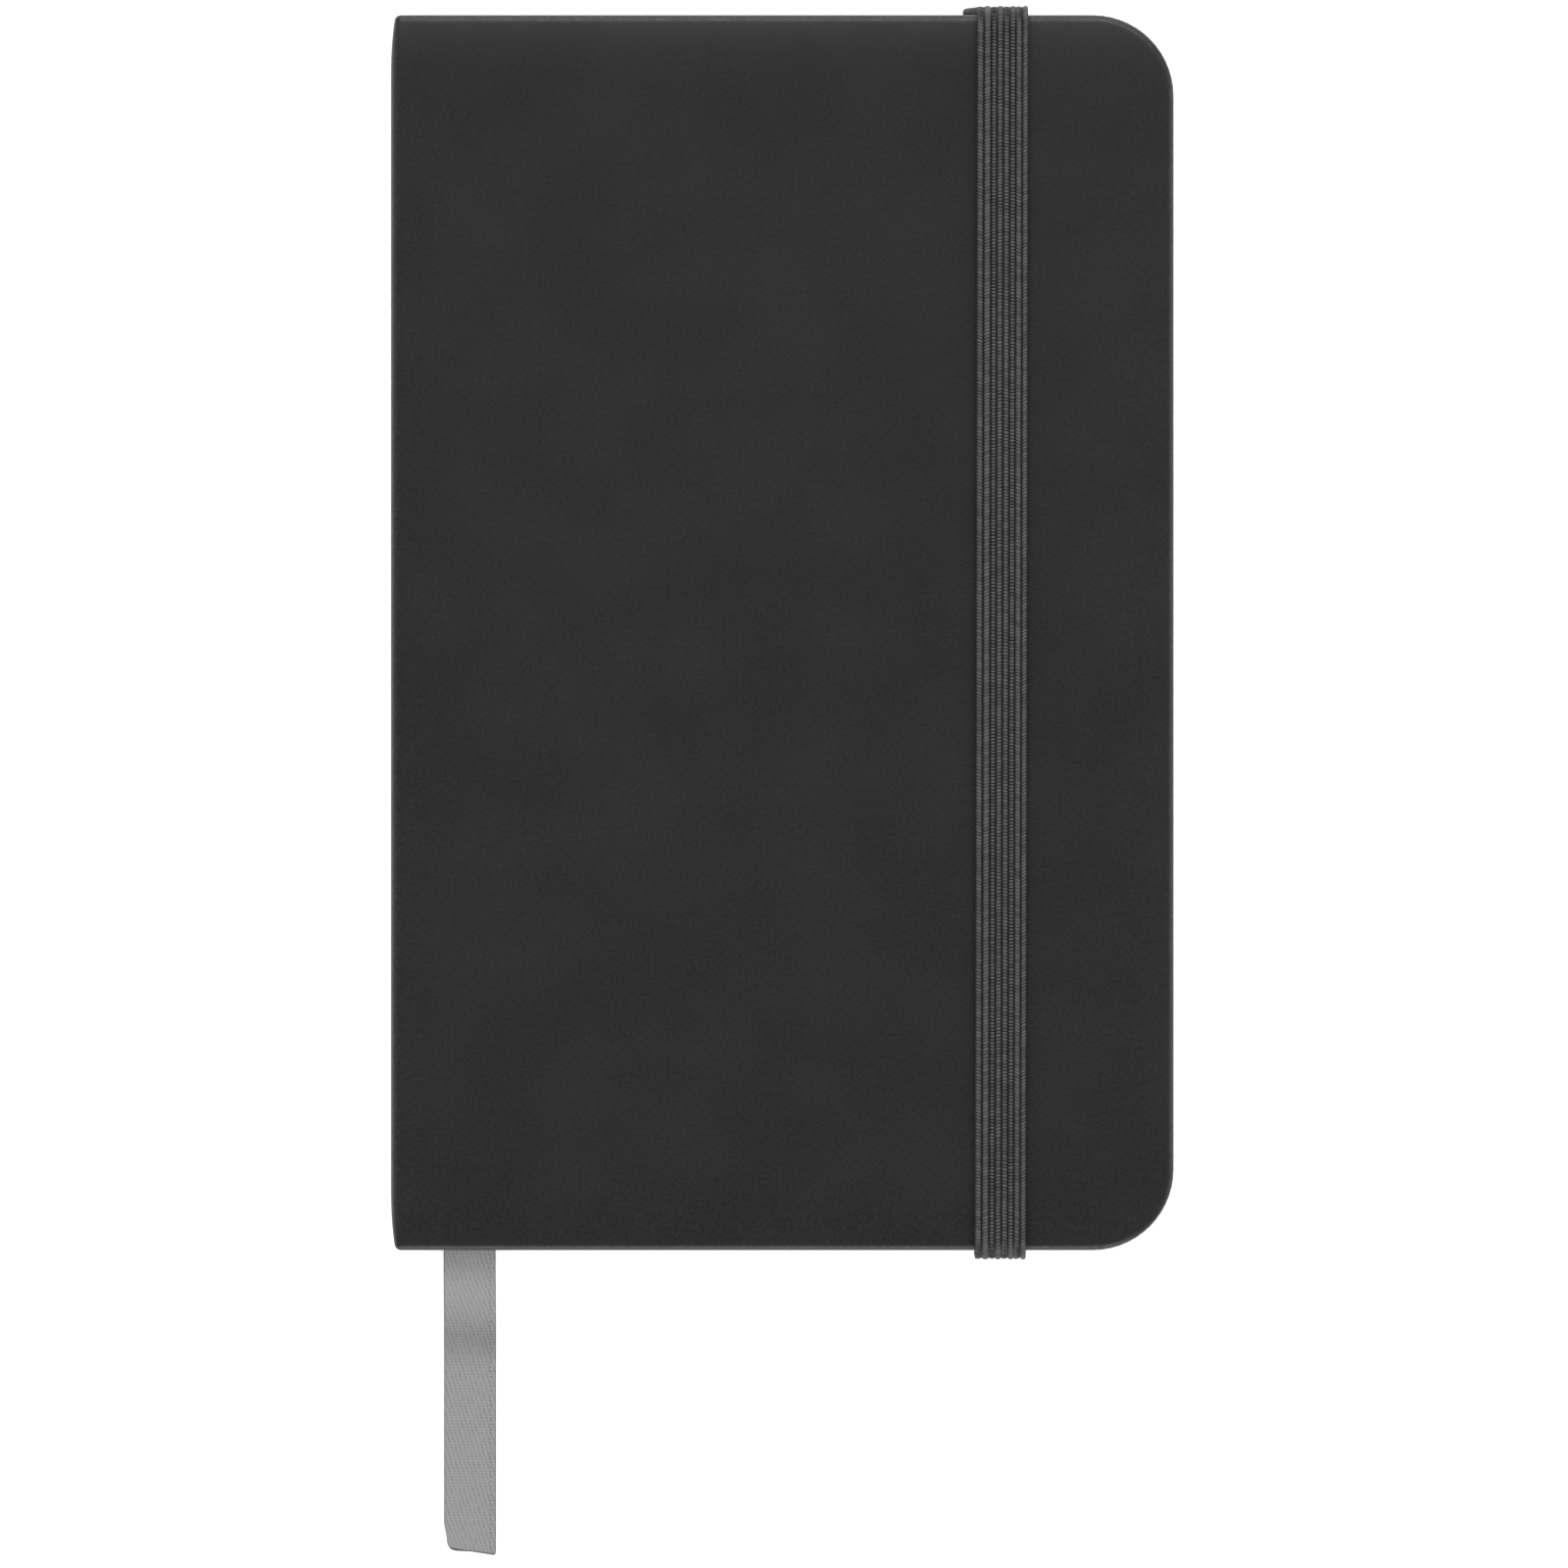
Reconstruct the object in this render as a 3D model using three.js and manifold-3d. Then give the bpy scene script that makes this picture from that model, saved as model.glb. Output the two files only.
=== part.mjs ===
// A pocket notebook with hard covers, an elastic closure and a ribbon marker, lying closed on its back cover.
// Millimetres. X runs from the spine to the fore-edge, Y from the tail to the head, and Z up through the front
// cover. The origin is the middle of the back cover's outer face.
import * as THREE from 'three';
import { mergeVertices } from 'three/addons/utils/BufferGeometryUtils.js';
import Module from 'manifold-3d';

const wasm = await Module();
wasm.setup();

// Case: two boards, a spine card and the imitation leather that wraps them
const COVER_WIDTH = 90;
const COVER_HEIGHT = 142;
const FORE_CORNER_RADIUS = 9.3;
const SPINE_CORNER_RADIUS = 1.2;
const EDGE_ROUND = 0.8;
const SKIN = 0.5;
const BOARD = 1.5;
const LIP = 0.3;
const TURN_IN = 12;
const PASTEDOWN = 0.15;
const PASTEDOWN_MARGIN = 2;
const JOINT_WIDTH = 4.3;
const SPINE_CARD = 0.7;
const SPINE_CARD_SHORT = 1.5;
const SPINE_END = 1.7;

// Text block: sewn sections of folded leaves, a flyleaf at each side, lining cloth and thread at the back
const SQUARE = 3;
const BLOCK_BACK = 2.25;
const SECTIONS_PER_HALF = 3;
const SECTION = 1.2;
const FLYLEAF = 0.15;
const PAGE_CORNER_RADIUS = 7;
const LINING = 0.25;
const LINING_BACK = 1.9;
const LINING_SHORT = 4;
const THREAD_RADIUS = 0.12;
const THREAD_SHORT = 8;

// Clearances
const FIT = 0.05;
const PAGE_GAP = 0.3;
const MIDDLE_GAP = 0.4;
const BAND_GAP = 0.1;

// Elastic closure
const BAND_WIDTH = 6;
const BAND_THICKNESS = 0.9;
const BAND_FROM_SPINE = 70.2;
const BAND_ROUND = 0.8;
const BAND_END = 1.2;
const HEAD_ANCHOR_SHIFT = -1.6;
const SLOT_FROM_EDGE = 9;
const TAB_LENGTH = 10;
const TAB_THICKNESS = 0.6;

// Ribbon marker: its middle line comes out of the binding at the head, slants away from the gutter, lies
// straight between the middle leaves, drops over the tail in two arcs and ends flat on the table
const RIBBON_WIDTH = 6;
const RIBBON_THICKNESS = 0.25;
const RIBBON_ROUTE = [
  [-40.4, 67.9, 7],
  [-40.2, 62, 7],
  [-39.3, 54, 7],
  [-37.6, 45, 7],
  [-36.4, 38, 7],
  [-36, 32, 7],
  [-36, 20, 7],
  [-36, 0, 7],
  [-36, -20, 7],
  [-36, -40, 7],
  [-36, -60, 7],
  [-36, -68, 7],
  [-36, -69.5, 6.91],
  [-36, -71, 6.62],
  [-36, -72.5, 6.12],
  [-36, -74, 5.39],
  [-36, -75.3, 4.52],
  [-36, -76.4, 3.56],
  [-36, -77.5, 2.61],
  [-36, -78.8, 1.73],
  [-36, -80.3, 1.01],
  [-36, -81.8, 0.51],
  [-36, -83.3, 0.22],
  [-36, -84.8, 0.125],
  [-36, -92, 0.125],
  [-36, -99, 0.125],
  [-36, -106.4, 0.125],
];

// Levels counted from the outer face of either cover inwards
const BOARD_LOW = SKIN + FIT;
const BOARD_HIGH = BOARD_LOW + BOARD;
const LIP_LOW = BOARD_HIGH + FIT;
const LIP_HIGH = LIP_LOW + LIP;
const PASTEDOWN_LOW = LIP_HIGH + FIT;
const PASTEDOWN_HIGH = PASTEDOWN_LOW + PASTEDOWN;
const FLYLEAF_LOW = PASTEDOWN_HIGH + PAGE_GAP;
const FLYLEAF_HIGH = FLYLEAF_LOW + FLYLEAF;
const SECTION_STEP = SECTION + FIT;
const HALF_HIGH = FLYLEAF_HIGH + SECTIONS_PER_HALF * SECTION_STEP;
const MIDDLE = HALF_HIGH + MIDDLE_GAP / 2;
const THICKNESS = 2 * MIDDLE;

const HALF_HEIGHT = COVER_HEIGHT / 2;
const BLOCK_HALF_HEIGHT = HALF_HEIGHT - SQUARE;
const FORE_EDGE = COVER_WIDTH - SQUARE;
const BEYOND = 5;
const CURVE_STEPS = 8;
const ROUND_STEPS = 3;

const skin = new THREE.MeshStandardMaterial({ color: 0x303031, roughness: 0.62, metalness: 0 });
const card = new THREE.MeshStandardMaterial({ color: 0x8f8a80, roughness: 0.9, metalness: 0 });
const paper = new THREE.MeshStandardMaterial({ color: 0xf1ead6, roughness: 0.9, metalness: 0 });
const endpaper = new THREE.MeshStandardMaterial({ color: 0xece5d2, roughness: 0.9, metalness: 0 });
const cloth = new THREE.MeshStandardMaterial({ color: 0xe4e1d8, roughness: 0.95, metalness: 0 });
const elastic = new THREE.MeshStandardMaterial({ color: 0x4a4a4b, roughness: 0.8, metalness: 0 });
const ribbonSatin = new THREE.MeshStandardMaterial({ color: 0x8e8e8e, roughness: 0.55, metalness: 0 });

/** The X of a place measured from the spine's outer face. */
const fromSpine = (distance) => distance - COVER_WIDTH / 2;

/** The Z range of a layer counted from the outer face of the back or the front cover. */
const layer = (side, low, high) => (side === 'front' ? [THICKNESS - high, THICKNESS - low] : [low, high]);

/** A rectangle with its own corner radius on the spine side and on the fore-edge side. */
function outline(left, right, halfHeight, spineRadius, foreRadius) {
  const shape = new THREE.Shape();
  shape.moveTo(left + spineRadius, -halfHeight);
  shape.lineTo(right - foreRadius, -halfHeight);
  shape.absarc(right - foreRadius, foreRadius - halfHeight, foreRadius, -Math.PI / 2, 0);
  shape.lineTo(right, halfHeight - foreRadius);
  shape.absarc(right - foreRadius, halfHeight - foreRadius, foreRadius, 0, Math.PI / 2);
  shape.lineTo(left + spineRadius, halfHeight);
  if (spineRadius > 0) {
    shape.absarc(left + spineRadius, halfHeight - spineRadius, spineRadius, Math.PI / 2, Math.PI);
    shape.lineTo(left, spineRadius - halfHeight);
    shape.absarc(left + spineRadius, spineRadius - halfHeight, spineRadius, Math.PI, Math.PI * 1.5);
  } else {
    shape.lineTo(left, -halfHeight);
  }
  return shape;
}

/** The cover's outline pulled in by an inset, open to the spine past its left edge. */
function coverOutline(inset, left) {
  return outline(
    fromSpine(left),
    fromSpine(COVER_WIDTH - inset),
    HALF_HEIGHT - inset,
    0,
    Math.max(FORE_CORNER_RADIUS - inset, 0.5),
  );
}

/** A flat plate of an XY outline between two heights, with rounded edges when asked. */
function plate(shape, [low, high], round = 0) {
  const geometry = new THREE.ExtrudeGeometry(shape, {
    depth: high - low - 2 * round,
    curveSegments: CURVE_STEPS,
    bevelEnabled: round > 0,
    bevelThickness: round,
    bevelSize: round,
    bevelOffset: -round,
    bevelSegments: ROUND_STEPS,
  });
  return geometry.translate(0, 0, low + round);
}

/** An XZ profile drawn out along Y. */
function alongY(shape, low, high) {
  const geometry = new THREE.ExtrudeGeometry(shape, {
    depth: high - low,
    curveSegments: CURVE_STEPS,
    bevelEnabled: false,
  });
  return geometry.rotateX(Math.PI / 2).translate(0, high, 0);
}

/** A YZ profile drawn out along X. */
function alongX(shape, low, high) {
  const geometry = new THREE.ExtrudeGeometry(shape, {
    depth: high - low,
    curveSegments: CURVE_STEPS,
    bevelEnabled: false,
  });
  const basis = new THREE.Matrix4().makeBasis(
    new THREE.Vector3(0, 1, 0),
    new THREE.Vector3(0, 0, 1),
    new THREE.Vector3(1, 0, 0),
  );
  return geometry.applyMatrix4(basis).translate(low, 0, 0);
}

/** A closed solid that can be joined to and cut by others. */
function solid(geometry) {
  const bare = geometry.clone();
  bare.deleteAttribute('normal');
  bare.deleteAttribute('uv');
  const merged = mergeVertices(bare, 1e-4);
  return new wasm.Manifold(
    new wasm.Mesh({
      numProp: 3,
      vertProperties: new Float32Array(merged.attributes.position.array),
      triVerts: new Uint32Array(merged.index.array),
    }),
  );
}

/** The geometry of a joined or cut solid. */
function geometryOf(body) {
  const mesh = body.getMesh();
  const geometry = new THREE.BufferGeometry();
  geometry.setAttribute('position', new THREE.BufferAttribute(new Float32Array(mesh.vertProperties), 3));
  geometry.setIndex(new THREE.BufferAttribute(new Uint32Array(mesh.triVerts), 1));
  geometry.computeVertexNormals();
  return geometry;
}

/** A geometry with others cut away from it. */
function cut(geometry, ...tools) {
  return geometryOf(tools.reduce((body, tool) => body.subtract(solid(tool)), solid(geometry)));
}

function piece(name, geometry, material) {
  const mesh = new THREE.Mesh(geometry, material);
  mesh.name = name;
  return mesh;
}

/** A box given by its ranges. */
function block([left, right], [tail, head], [low, high]) {
  const geometry = new THREE.BoxGeometry(right - left, head - tail, high - low);
  return geometry.translate((left + right) / 2, (tail + head) / 2, (low + high) / 2);
}

/**
 * The stretch of elastic fixed in the back cover: round the cover's edge, along a shallow channel in the
 * outer face, up through a slot, and flat under the endpaper. grow widens it into the room cut for it.
 */
function anchorGeometry(end, grow) {
  const outer = HALF_HEIGHT + BAND_GAP + BAND_THICKNESS + grow;
  const inner = HALF_HEIGHT + BAND_GAP - grow;
  const slot = HALF_HEIGHT - SLOT_FROM_EDGE;
  const bottom = grow > 0 ? -BEYOND : FIT;
  const channelTop = FIT + BAND_THICKNESS + grow;
  const tabLow = BOARD_HIGH - TAB_THICKNESS - grow;
  const tabHigh = grow > 0 ? LIP_LOW : BOARD_HIGH;
  const shape = new THREE.Shape();
  shape.moveTo(outer, BAND_END + grow);
  shape.lineTo(outer, bottom + BAND_ROUND);
  shape.absarc(outer - BAND_ROUND, bottom + BAND_ROUND, BAND_ROUND, 0, -Math.PI / 2, true);
  shape.lineTo(slot - grow, bottom);
  shape.lineTo(slot - grow, tabLow);
  shape.lineTo(slot - TAB_LENGTH - grow, tabLow);
  shape.lineTo(slot - TAB_LENGTH - grow, tabHigh);
  shape.lineTo(slot + BAND_THICKNESS + grow, tabHigh);
  shape.lineTo(slot + BAND_THICKNESS + grow, channelTop);
  shape.lineTo(inner, channelTop);
  shape.lineTo(inner, BAND_END + grow);
  const middle = fromSpine(BAND_FROM_SPINE) + (end === 'head' ? HEAD_ANCHOR_SHIFT : 0);
  const geometry = alongX(shape, middle - BAND_WIDTH / 2 - grow, middle + BAND_WIDTH / 2 + grow);
  return end === 'head' ? geometry : geometry.rotateZ(Math.PI).translate(2 * middle, 0, 0);
}

/** The elastic's upright stretch over the head or the tail edge, leaning where its slot stands aside. */
function edgeRun(end) {
  const top = fromSpine(BAND_FROM_SPINE);
  const foot = top + (end === 'head' ? HEAD_ANCHOR_SHIFT : 0);
  const shape = new THREE.Shape();
  shape.moveTo(foot - BAND_WIDTH / 2, BAND_END + FIT);
  shape.lineTo(foot + BAND_WIDTH / 2, BAND_END + FIT);
  shape.lineTo(top + BAND_WIDTH / 2, THICKNESS - BAND_END - FIT);
  shape.lineTo(top - BAND_WIDTH / 2, THICKNESS - BAND_END - FIT);
  const near = HALF_HEIGHT + BAND_GAP;
  return end === 'head'
    ? alongY(shape, near, near + BAND_THICKNESS)
    : alongY(shape, -near - BAND_THICKNESS, -near);
}

/** The elastic's long stretch over the front cover, turned down at both ends. */
function frontRun() {
  const inner = HALF_HEIGHT + BAND_GAP;
  const outer = inner + BAND_THICKNESS;
  const low = THICKNESS + BAND_GAP;
  const high = low + BAND_THICKNESS;
  const shape = new THREE.Shape();
  shape.moveTo(outer, THICKNESS - BAND_END);
  shape.lineTo(outer, high - BAND_ROUND);
  shape.absarc(outer - BAND_ROUND, high - BAND_ROUND, BAND_ROUND, 0, Math.PI / 2);
  shape.lineTo(BAND_ROUND - outer, high);
  shape.absarc(BAND_ROUND - outer, high - BAND_ROUND, BAND_ROUND, Math.PI / 2, Math.PI);
  shape.lineTo(-outer, THICKNESS - BAND_END);
  shape.lineTo(-inner, THICKNESS - BAND_END);
  shape.lineTo(-inner, low);
  shape.lineTo(inner, low);
  shape.lineTo(inner, THICKNESS - BAND_END);
  const middle = fromSpine(BAND_FROM_SPINE);
  return alongX(shape, middle - BAND_WIDTH / 2, middle + BAND_WIDTH / 2);
}

/** The imitation leather of one cover: outer face, three edges, and turn-ins on the inner face. */
function coverWrap(side, rooms) {
  const body = plate(coverOutline(0, 0), layer(side, 0, LIP_HIGH), EDGE_ROUND);
  const spineSide = block(
    [fromSpine(-BEYOND), fromSpine(JOINT_WIDTH)],
    [-COVER_HEIGHT, COVER_HEIGHT],
    [-BEYOND, THICKNESS + BEYOND],
  );
  const pocket = plate(coverOutline(SKIN, -BEYOND), layer(side, SKIN, LIP_LOW));
  const window = plate(coverOutline(TURN_IN, -BEYOND), layer(side, BOARD_HIGH, LIP_HIGH + BEYOND));
  return cut(body, spineSide, pocket, window, ...rooms);
}

function coverBoard(side, rooms) {
  const shape = coverOutline(SKIN + FIT, JOINT_WIDTH + FIT);
  return cut(plate(shape, layer(side, BOARD_LOW, BOARD_HIGH)), ...rooms);
}

/** The soft corner of the wrap between a board and the spine card, where the cover hinges. */
function jointSkin(side) {
  const radius = SPINE_CORNER_RADIUS;
  const shape = new THREE.Shape();
  shape.moveTo(fromSpine(JOINT_WIDTH - FIT), 0);
  shape.lineTo(fromSpine(JOINT_WIDTH - FIT), SKIN);
  shape.lineTo(fromSpine(radius), SKIN);
  shape.absarc(fromSpine(radius), radius, radius - SKIN, -Math.PI / 2, -Math.PI, true);
  shape.lineTo(fromSpine(SKIN), SPINE_END - FIT);
  shape.lineTo(fromSpine(0), SPINE_END - FIT);
  shape.lineTo(fromSpine(0), radius);
  shape.absarc(fromSpine(radius), radius, radius, Math.PI, Math.PI * 1.5);
  const geometry = alongY(shape, -HALF_HEIGHT, HALF_HEIGHT);
  if (side === 'back') {
    return geometry;
  }
  const about = fromSpine(0);
  return geometry.translate(-about, 0, -MIDDLE).rotateX(Math.PI).translate(about, 0, MIDDLE);
}

function caseCover(side) {
  const rooms = side === 'back' ? ['head', 'tail'].map((end) => anchorGeometry(end, BAND_GAP)) : [];
  const inner = outline(
    fromSpine(JOINT_WIDTH + FIT),
    fromSpine(COVER_WIDTH - PASTEDOWN_MARGIN),
    HALF_HEIGHT - PASTEDOWN_MARGIN,
    0,
    FORE_CORNER_RADIUS - PASTEDOWN_MARGIN,
  );
  return [
    piece(`${side}_cover_wrap`, coverWrap(side, rooms), skin),
    piece(`${side}_board`, coverBoard(side, rooms), card),
    piece(`${side}_joint_skin`, jointSkin(side), skin),
    piece(`${side}_pastedown`, plate(inner, layer(side, PASTEDOWN_LOW, PASTEDOWN_HIGH)), endpaper),
  ];
}

function spine() {
  const height = [SPINE_END, THICKNESS - SPINE_END];
  const wrap = block([fromSpine(0), fromSpine(SKIN)], [-HALF_HEIGHT, HALF_HEIGHT], height);
  const cardLength = HALF_HEIGHT - SPINE_CARD_SHORT;
  const cardDepth = [fromSpine(SKIN + FIT), fromSpine(SKIN + FIT + SPINE_CARD)];
  return [
    piece('spine_wrap', wrap, skin),
    piece('spine_card', block(cardDepth, [-cardLength, cardLength], height), card),
  ];
}

/** One sewn section: folded leaves with a round fold at the back and round fore-edge corners. */
function section([low, high]) {
  const fold = (high - low) / 2;
  const profile = new THREE.Shape();
  profile.moveTo(fromSpine(BLOCK_BACK + fold), low);
  profile.lineTo(fromSpine(FORE_EDGE), low);
  profile.lineTo(fromSpine(FORE_EDGE), high);
  profile.lineTo(fromSpine(BLOCK_BACK + fold), high);
  profile.absarc(fromSpine(BLOCK_BACK + fold), low + fold, fold, Math.PI / 2, Math.PI * 1.5);
  const leaves = solid(alongY(profile, -BLOCK_HALF_HEIGHT, BLOCK_HALF_HEIGHT));
  const trim = solid(plate(pageOutline(0), [low - BEYOND, high + BEYOND]));
  return geometryOf(leaves.intersect(trim));
}

function pageOutline(left) {
  return outline(fromSpine(left), fromSpine(FORE_EDGE), BLOCK_HALF_HEIGHT, 0, PAGE_CORNER_RADIUS);
}

/** The thread that links two neighbouring sections, in the valley between their folds. */
function linkThread(height) {
  const shape = new THREE.Shape();
  shape.absarc(fromSpine(LINING_BACK + LINING + FIT + THREAD_RADIUS), height, THREAD_RADIUS, 0, Math.PI * 2);
  const half = BLOCK_HALF_HEIGHT - THREAD_SHORT;
  return alongY(shape, -half, half);
}

/** One half of the text block, from the flyleaf beside its cover to the middle opening. */
function halfBlock(side) {
  const pieces = [];
  const flyleaf = plate(pageOutline(BLOCK_BACK), layer(side, FLYLEAF_LOW, FLYLEAF_HIGH));
  pieces.push(piece(`${side}_flyleaf`, flyleaf, endpaper));
  for (let i = 0; i < SECTIONS_PER_HALF; i += 1) {
    const low = FLYLEAF_HIGH + FIT + i * SECTION_STEP;
    const number = side === 'front' ? i + 1 : 2 * SECTIONS_PER_HALF - i;
    pieces.push(piece(`section_${number}`, section(layer(side, low, low + SECTION)), paper));
    if (i > 0) {
      const [height] = layer(side, low - FIT / 2, low - FIT / 2);
      pieces.push(piece(`${side}_sewing_thread_${i}`, linkThread(height), cloth));
    }
  }
  const liningHalf = BLOCK_HALF_HEIGHT - LINING_SHORT;
  const depth = [fromSpine(LINING_BACK), fromSpine(LINING_BACK + LINING)];
  const lining = block(depth, [-liningHalf, liningHalf], layer(side, FLYLEAF_LOW, HALF_HIGH));
  pieces.push(piece(`${side}_spine_lining`, lining, cloth));
  return pieces;
}

/** A line of points moved sideways, to its left as it runs. */
function besideLine(points, distance) {
  return points.map((point, i) => {
    const before = points[Math.max(i - 1, 0)];
    const after = points[Math.min(i + 1, points.length - 1)];
    const along = after.clone().sub(before).normalize();
    return new THREE.Vector2(point.x - along.y * distance, point.y + along.x * distance);
  });
}

/** The ribbon: what its outline from above and its outline from the side have in common. */
function ribbonMarker() {
  const half = RIBBON_WIDTH / 2;
  const thin = RIBBON_THICKNESS / 2;
  const fromAbove = new THREE.Shape([
    ...RIBBON_ROUTE.map(([x, y]) => new THREE.Vector2(x + half, y)),
    ...RIBBON_ROUTE.map(([x, y]) => new THREE.Vector2(x - half, y)).reverse(),
  ]);
  const line = RIBBON_ROUTE.map(([, y, z]) => new THREE.Vector2(y, z));
  const fromSide = new THREE.Shape([...besideLine(line, thin), ...besideLine(line, -thin).reverse()]);
  const standing = solid(plate(fromAbove, [-BEYOND, THICKNESS + BEYOND]));
  const lying = solid(alongX(fromSide, fromSpine(0), fromSpine(COVER_WIDTH)));
  return piece('ribbon_marker', geometryOf(standing.intersect(lying)), ribbonSatin);
}

function elasticClosure() {
  return [
    piece('elastic_band', frontRun(), elastic),
    piece('elastic_head_side', edgeRun('head'), elastic),
    piece('elastic_tail_side', edgeRun('tail'), elastic),
    piece('elastic_head_anchor', anchorGeometry('head', 0), elastic),
    piece('elastic_tail_anchor', anchorGeometry('tail', 0), elastic),
  ];
}

const notebook = new THREE.Group();
notebook.add(...caseCover('back'), ...caseCover('front'), ...spine());
notebook.add(...halfBlock('back'), ...halfBlock('front'));
notebook.add(ribbonMarker(), ...elasticClosure());

export default notebook;
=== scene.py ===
"""The looks of a pocket notebook: wrapped case, sewn leaves, elastic closure and ribbon marker.

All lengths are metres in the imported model's frame: X from the spine to the fore-edge, Y from the tail
to the head, Z up through the closed front cover.
"""

import logging
import math
from collections.abc import Iterable, Sequence
from dataclasses import dataclass, field
from enum import Enum
from typing import ClassVar

import bmesh
import bpy
import numpy as np
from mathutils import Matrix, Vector


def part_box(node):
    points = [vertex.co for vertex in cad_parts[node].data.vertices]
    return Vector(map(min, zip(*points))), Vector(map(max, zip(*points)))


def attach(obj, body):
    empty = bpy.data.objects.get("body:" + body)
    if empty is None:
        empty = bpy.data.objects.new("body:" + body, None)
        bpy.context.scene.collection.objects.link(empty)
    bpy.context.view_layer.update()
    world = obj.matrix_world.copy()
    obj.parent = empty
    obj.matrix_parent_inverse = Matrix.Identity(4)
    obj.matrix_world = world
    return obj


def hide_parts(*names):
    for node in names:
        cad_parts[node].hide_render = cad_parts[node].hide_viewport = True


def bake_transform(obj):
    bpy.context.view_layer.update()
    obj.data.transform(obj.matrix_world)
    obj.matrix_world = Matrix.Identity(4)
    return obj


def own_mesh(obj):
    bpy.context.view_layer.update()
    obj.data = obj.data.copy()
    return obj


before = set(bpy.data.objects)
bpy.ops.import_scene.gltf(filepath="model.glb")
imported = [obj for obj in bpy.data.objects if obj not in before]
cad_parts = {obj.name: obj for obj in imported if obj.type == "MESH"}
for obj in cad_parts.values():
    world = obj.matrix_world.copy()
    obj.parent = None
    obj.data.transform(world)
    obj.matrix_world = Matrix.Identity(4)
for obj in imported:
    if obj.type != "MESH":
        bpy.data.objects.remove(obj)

LOG = logging.getLogger("notebook")
MM = 0.001
TURN = 2 * math.pi

Point = tuple[float, float, float]
Colour = tuple[float, float, float]
Socket = bpy.types.NodeSocket


class Side(Enum):
    """One half of the closed notebook."""

    FRONT = "front"
    BACK = "back"


class End(Enum):
    """One end of the notebook, with its sign along Y."""

    HEAD = 1
    TAIL = -1


# ----------------------------------------------------------------------
# Node helpers


class Graph:
    """A node tree that is being wired."""

    def __init__(self, tree: bpy.types.NodeTree) -> None:
        """Keeps the tree.

        Args:
            tree: the material's or the group's node tree.
        """
        self.tree = tree

    def node(self, kind: str, inputs: dict | None = None, **settings: object) -> bpy.types.Node:
        """Adds a node.

        Args:
            kind: the node's Blender type.
            inputs: values or sockets by input name or number.
            settings: the node's own properties.

        Returns:
            The new node.
        """
        made = self.tree.nodes.new(kind)
        for name, value in settings.items():
            setattr(made, name, value)
        for key, value in (inputs or {}).items():
            if isinstance(value, bpy.types.NodeSocket):
                self.tree.links.new(value, made.inputs[key])
            else:
                made.inputs[key].default_value = value
        return made

    def math(self, operation: str, *values: float | Socket, clamp: bool = False) -> Socket:
        """Adds a Math node.

        Args:
            operation: the node's operation.
            values: its inputs, in order.
            clamp: whether the result stays between 0 and 1.

        Returns:
            The result's socket.
        """
        inputs = dict(enumerate(values))
        return self.node("ShaderNodeMath", inputs, operation=operation, use_clamp=clamp).outputs[0]

    def times(self, one: float | Socket, other: float | Socket) -> Socket:
        """Multiplies two values."""
        return self.math("MULTIPLY", one, other)

    def over(self, one: float | Socket, other: float | Socket) -> Socket:
        """Divides the first value by the second."""
        return self.math("DIVIDE", one, other)

    def plus(self, one: float | Socket, other: float | Socket) -> Socket:
        """Adds two values."""
        return self.math("ADD", one, other)

    def minus(self, one: float | Socket, other: float | Socket) -> Socket:
        """Takes the second value from the first."""
        return self.math("SUBTRACT", one, other)

    def unsigned(self, value: Socket) -> Socket:
        """A value without its sign."""
        return self.math("ABSOLUTE", value)

    def wave(self, value: Socket, rate: float = TURN) -> Socket:
        """The sine of a value times a rate."""
        return self.math("SINE", self.times(value, rate))

    def axes(self, vector: Socket) -> bpy.types.NodeOutputs:
        """The three parts of a vector."""
        return self.node("ShaderNodeSeparateXYZ", {"Vector": vector}).outputs

    def coordinates(self) -> Socket:
        """The piece's own coordinates, in metres."""
        return self.node("ShaderNodeTexCoord").outputs["Object"]

    def ramp(
        self, value: Socket, low: float, high: float, to_low: float = 0.0, to_high: float = 1.0
    ) -> Socket:
        """Maps a value smoothly from one range to another.

        Args:
            value: the value.
            low: where the first range starts.
            high: where it ends.
            to_low: what low becomes.
            to_high: what high becomes.

        Returns:
            The result's socket.
        """
        inputs = {"Value": value, "From Min": low, "From Max": high, "To Min": to_low, "To Max": to_high}
        return self.node("ShaderNodeMapRange", inputs, interpolation_type="SMOOTHSTEP").outputs[0]

    def mix(self, factor: float | Socket, one: Colour | Socket, other: Colour | Socket) -> Socket:
        """Mixes two colours.

        Args:
            factor: 0 gives the first colour and 1 the second.
            one: the first colour.
            other: the second colour.

        Returns:
            The colour's socket.
        """
        colours = [c if isinstance(c, bpy.types.NodeSocket) else (*c, 1.0) for c in (one, other)]
        inputs = {0: factor, 6: colours[0], 7: colours[1]}
        return self.node("ShaderNodeMix", inputs, data_type="RGBA").outputs[2]


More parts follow.
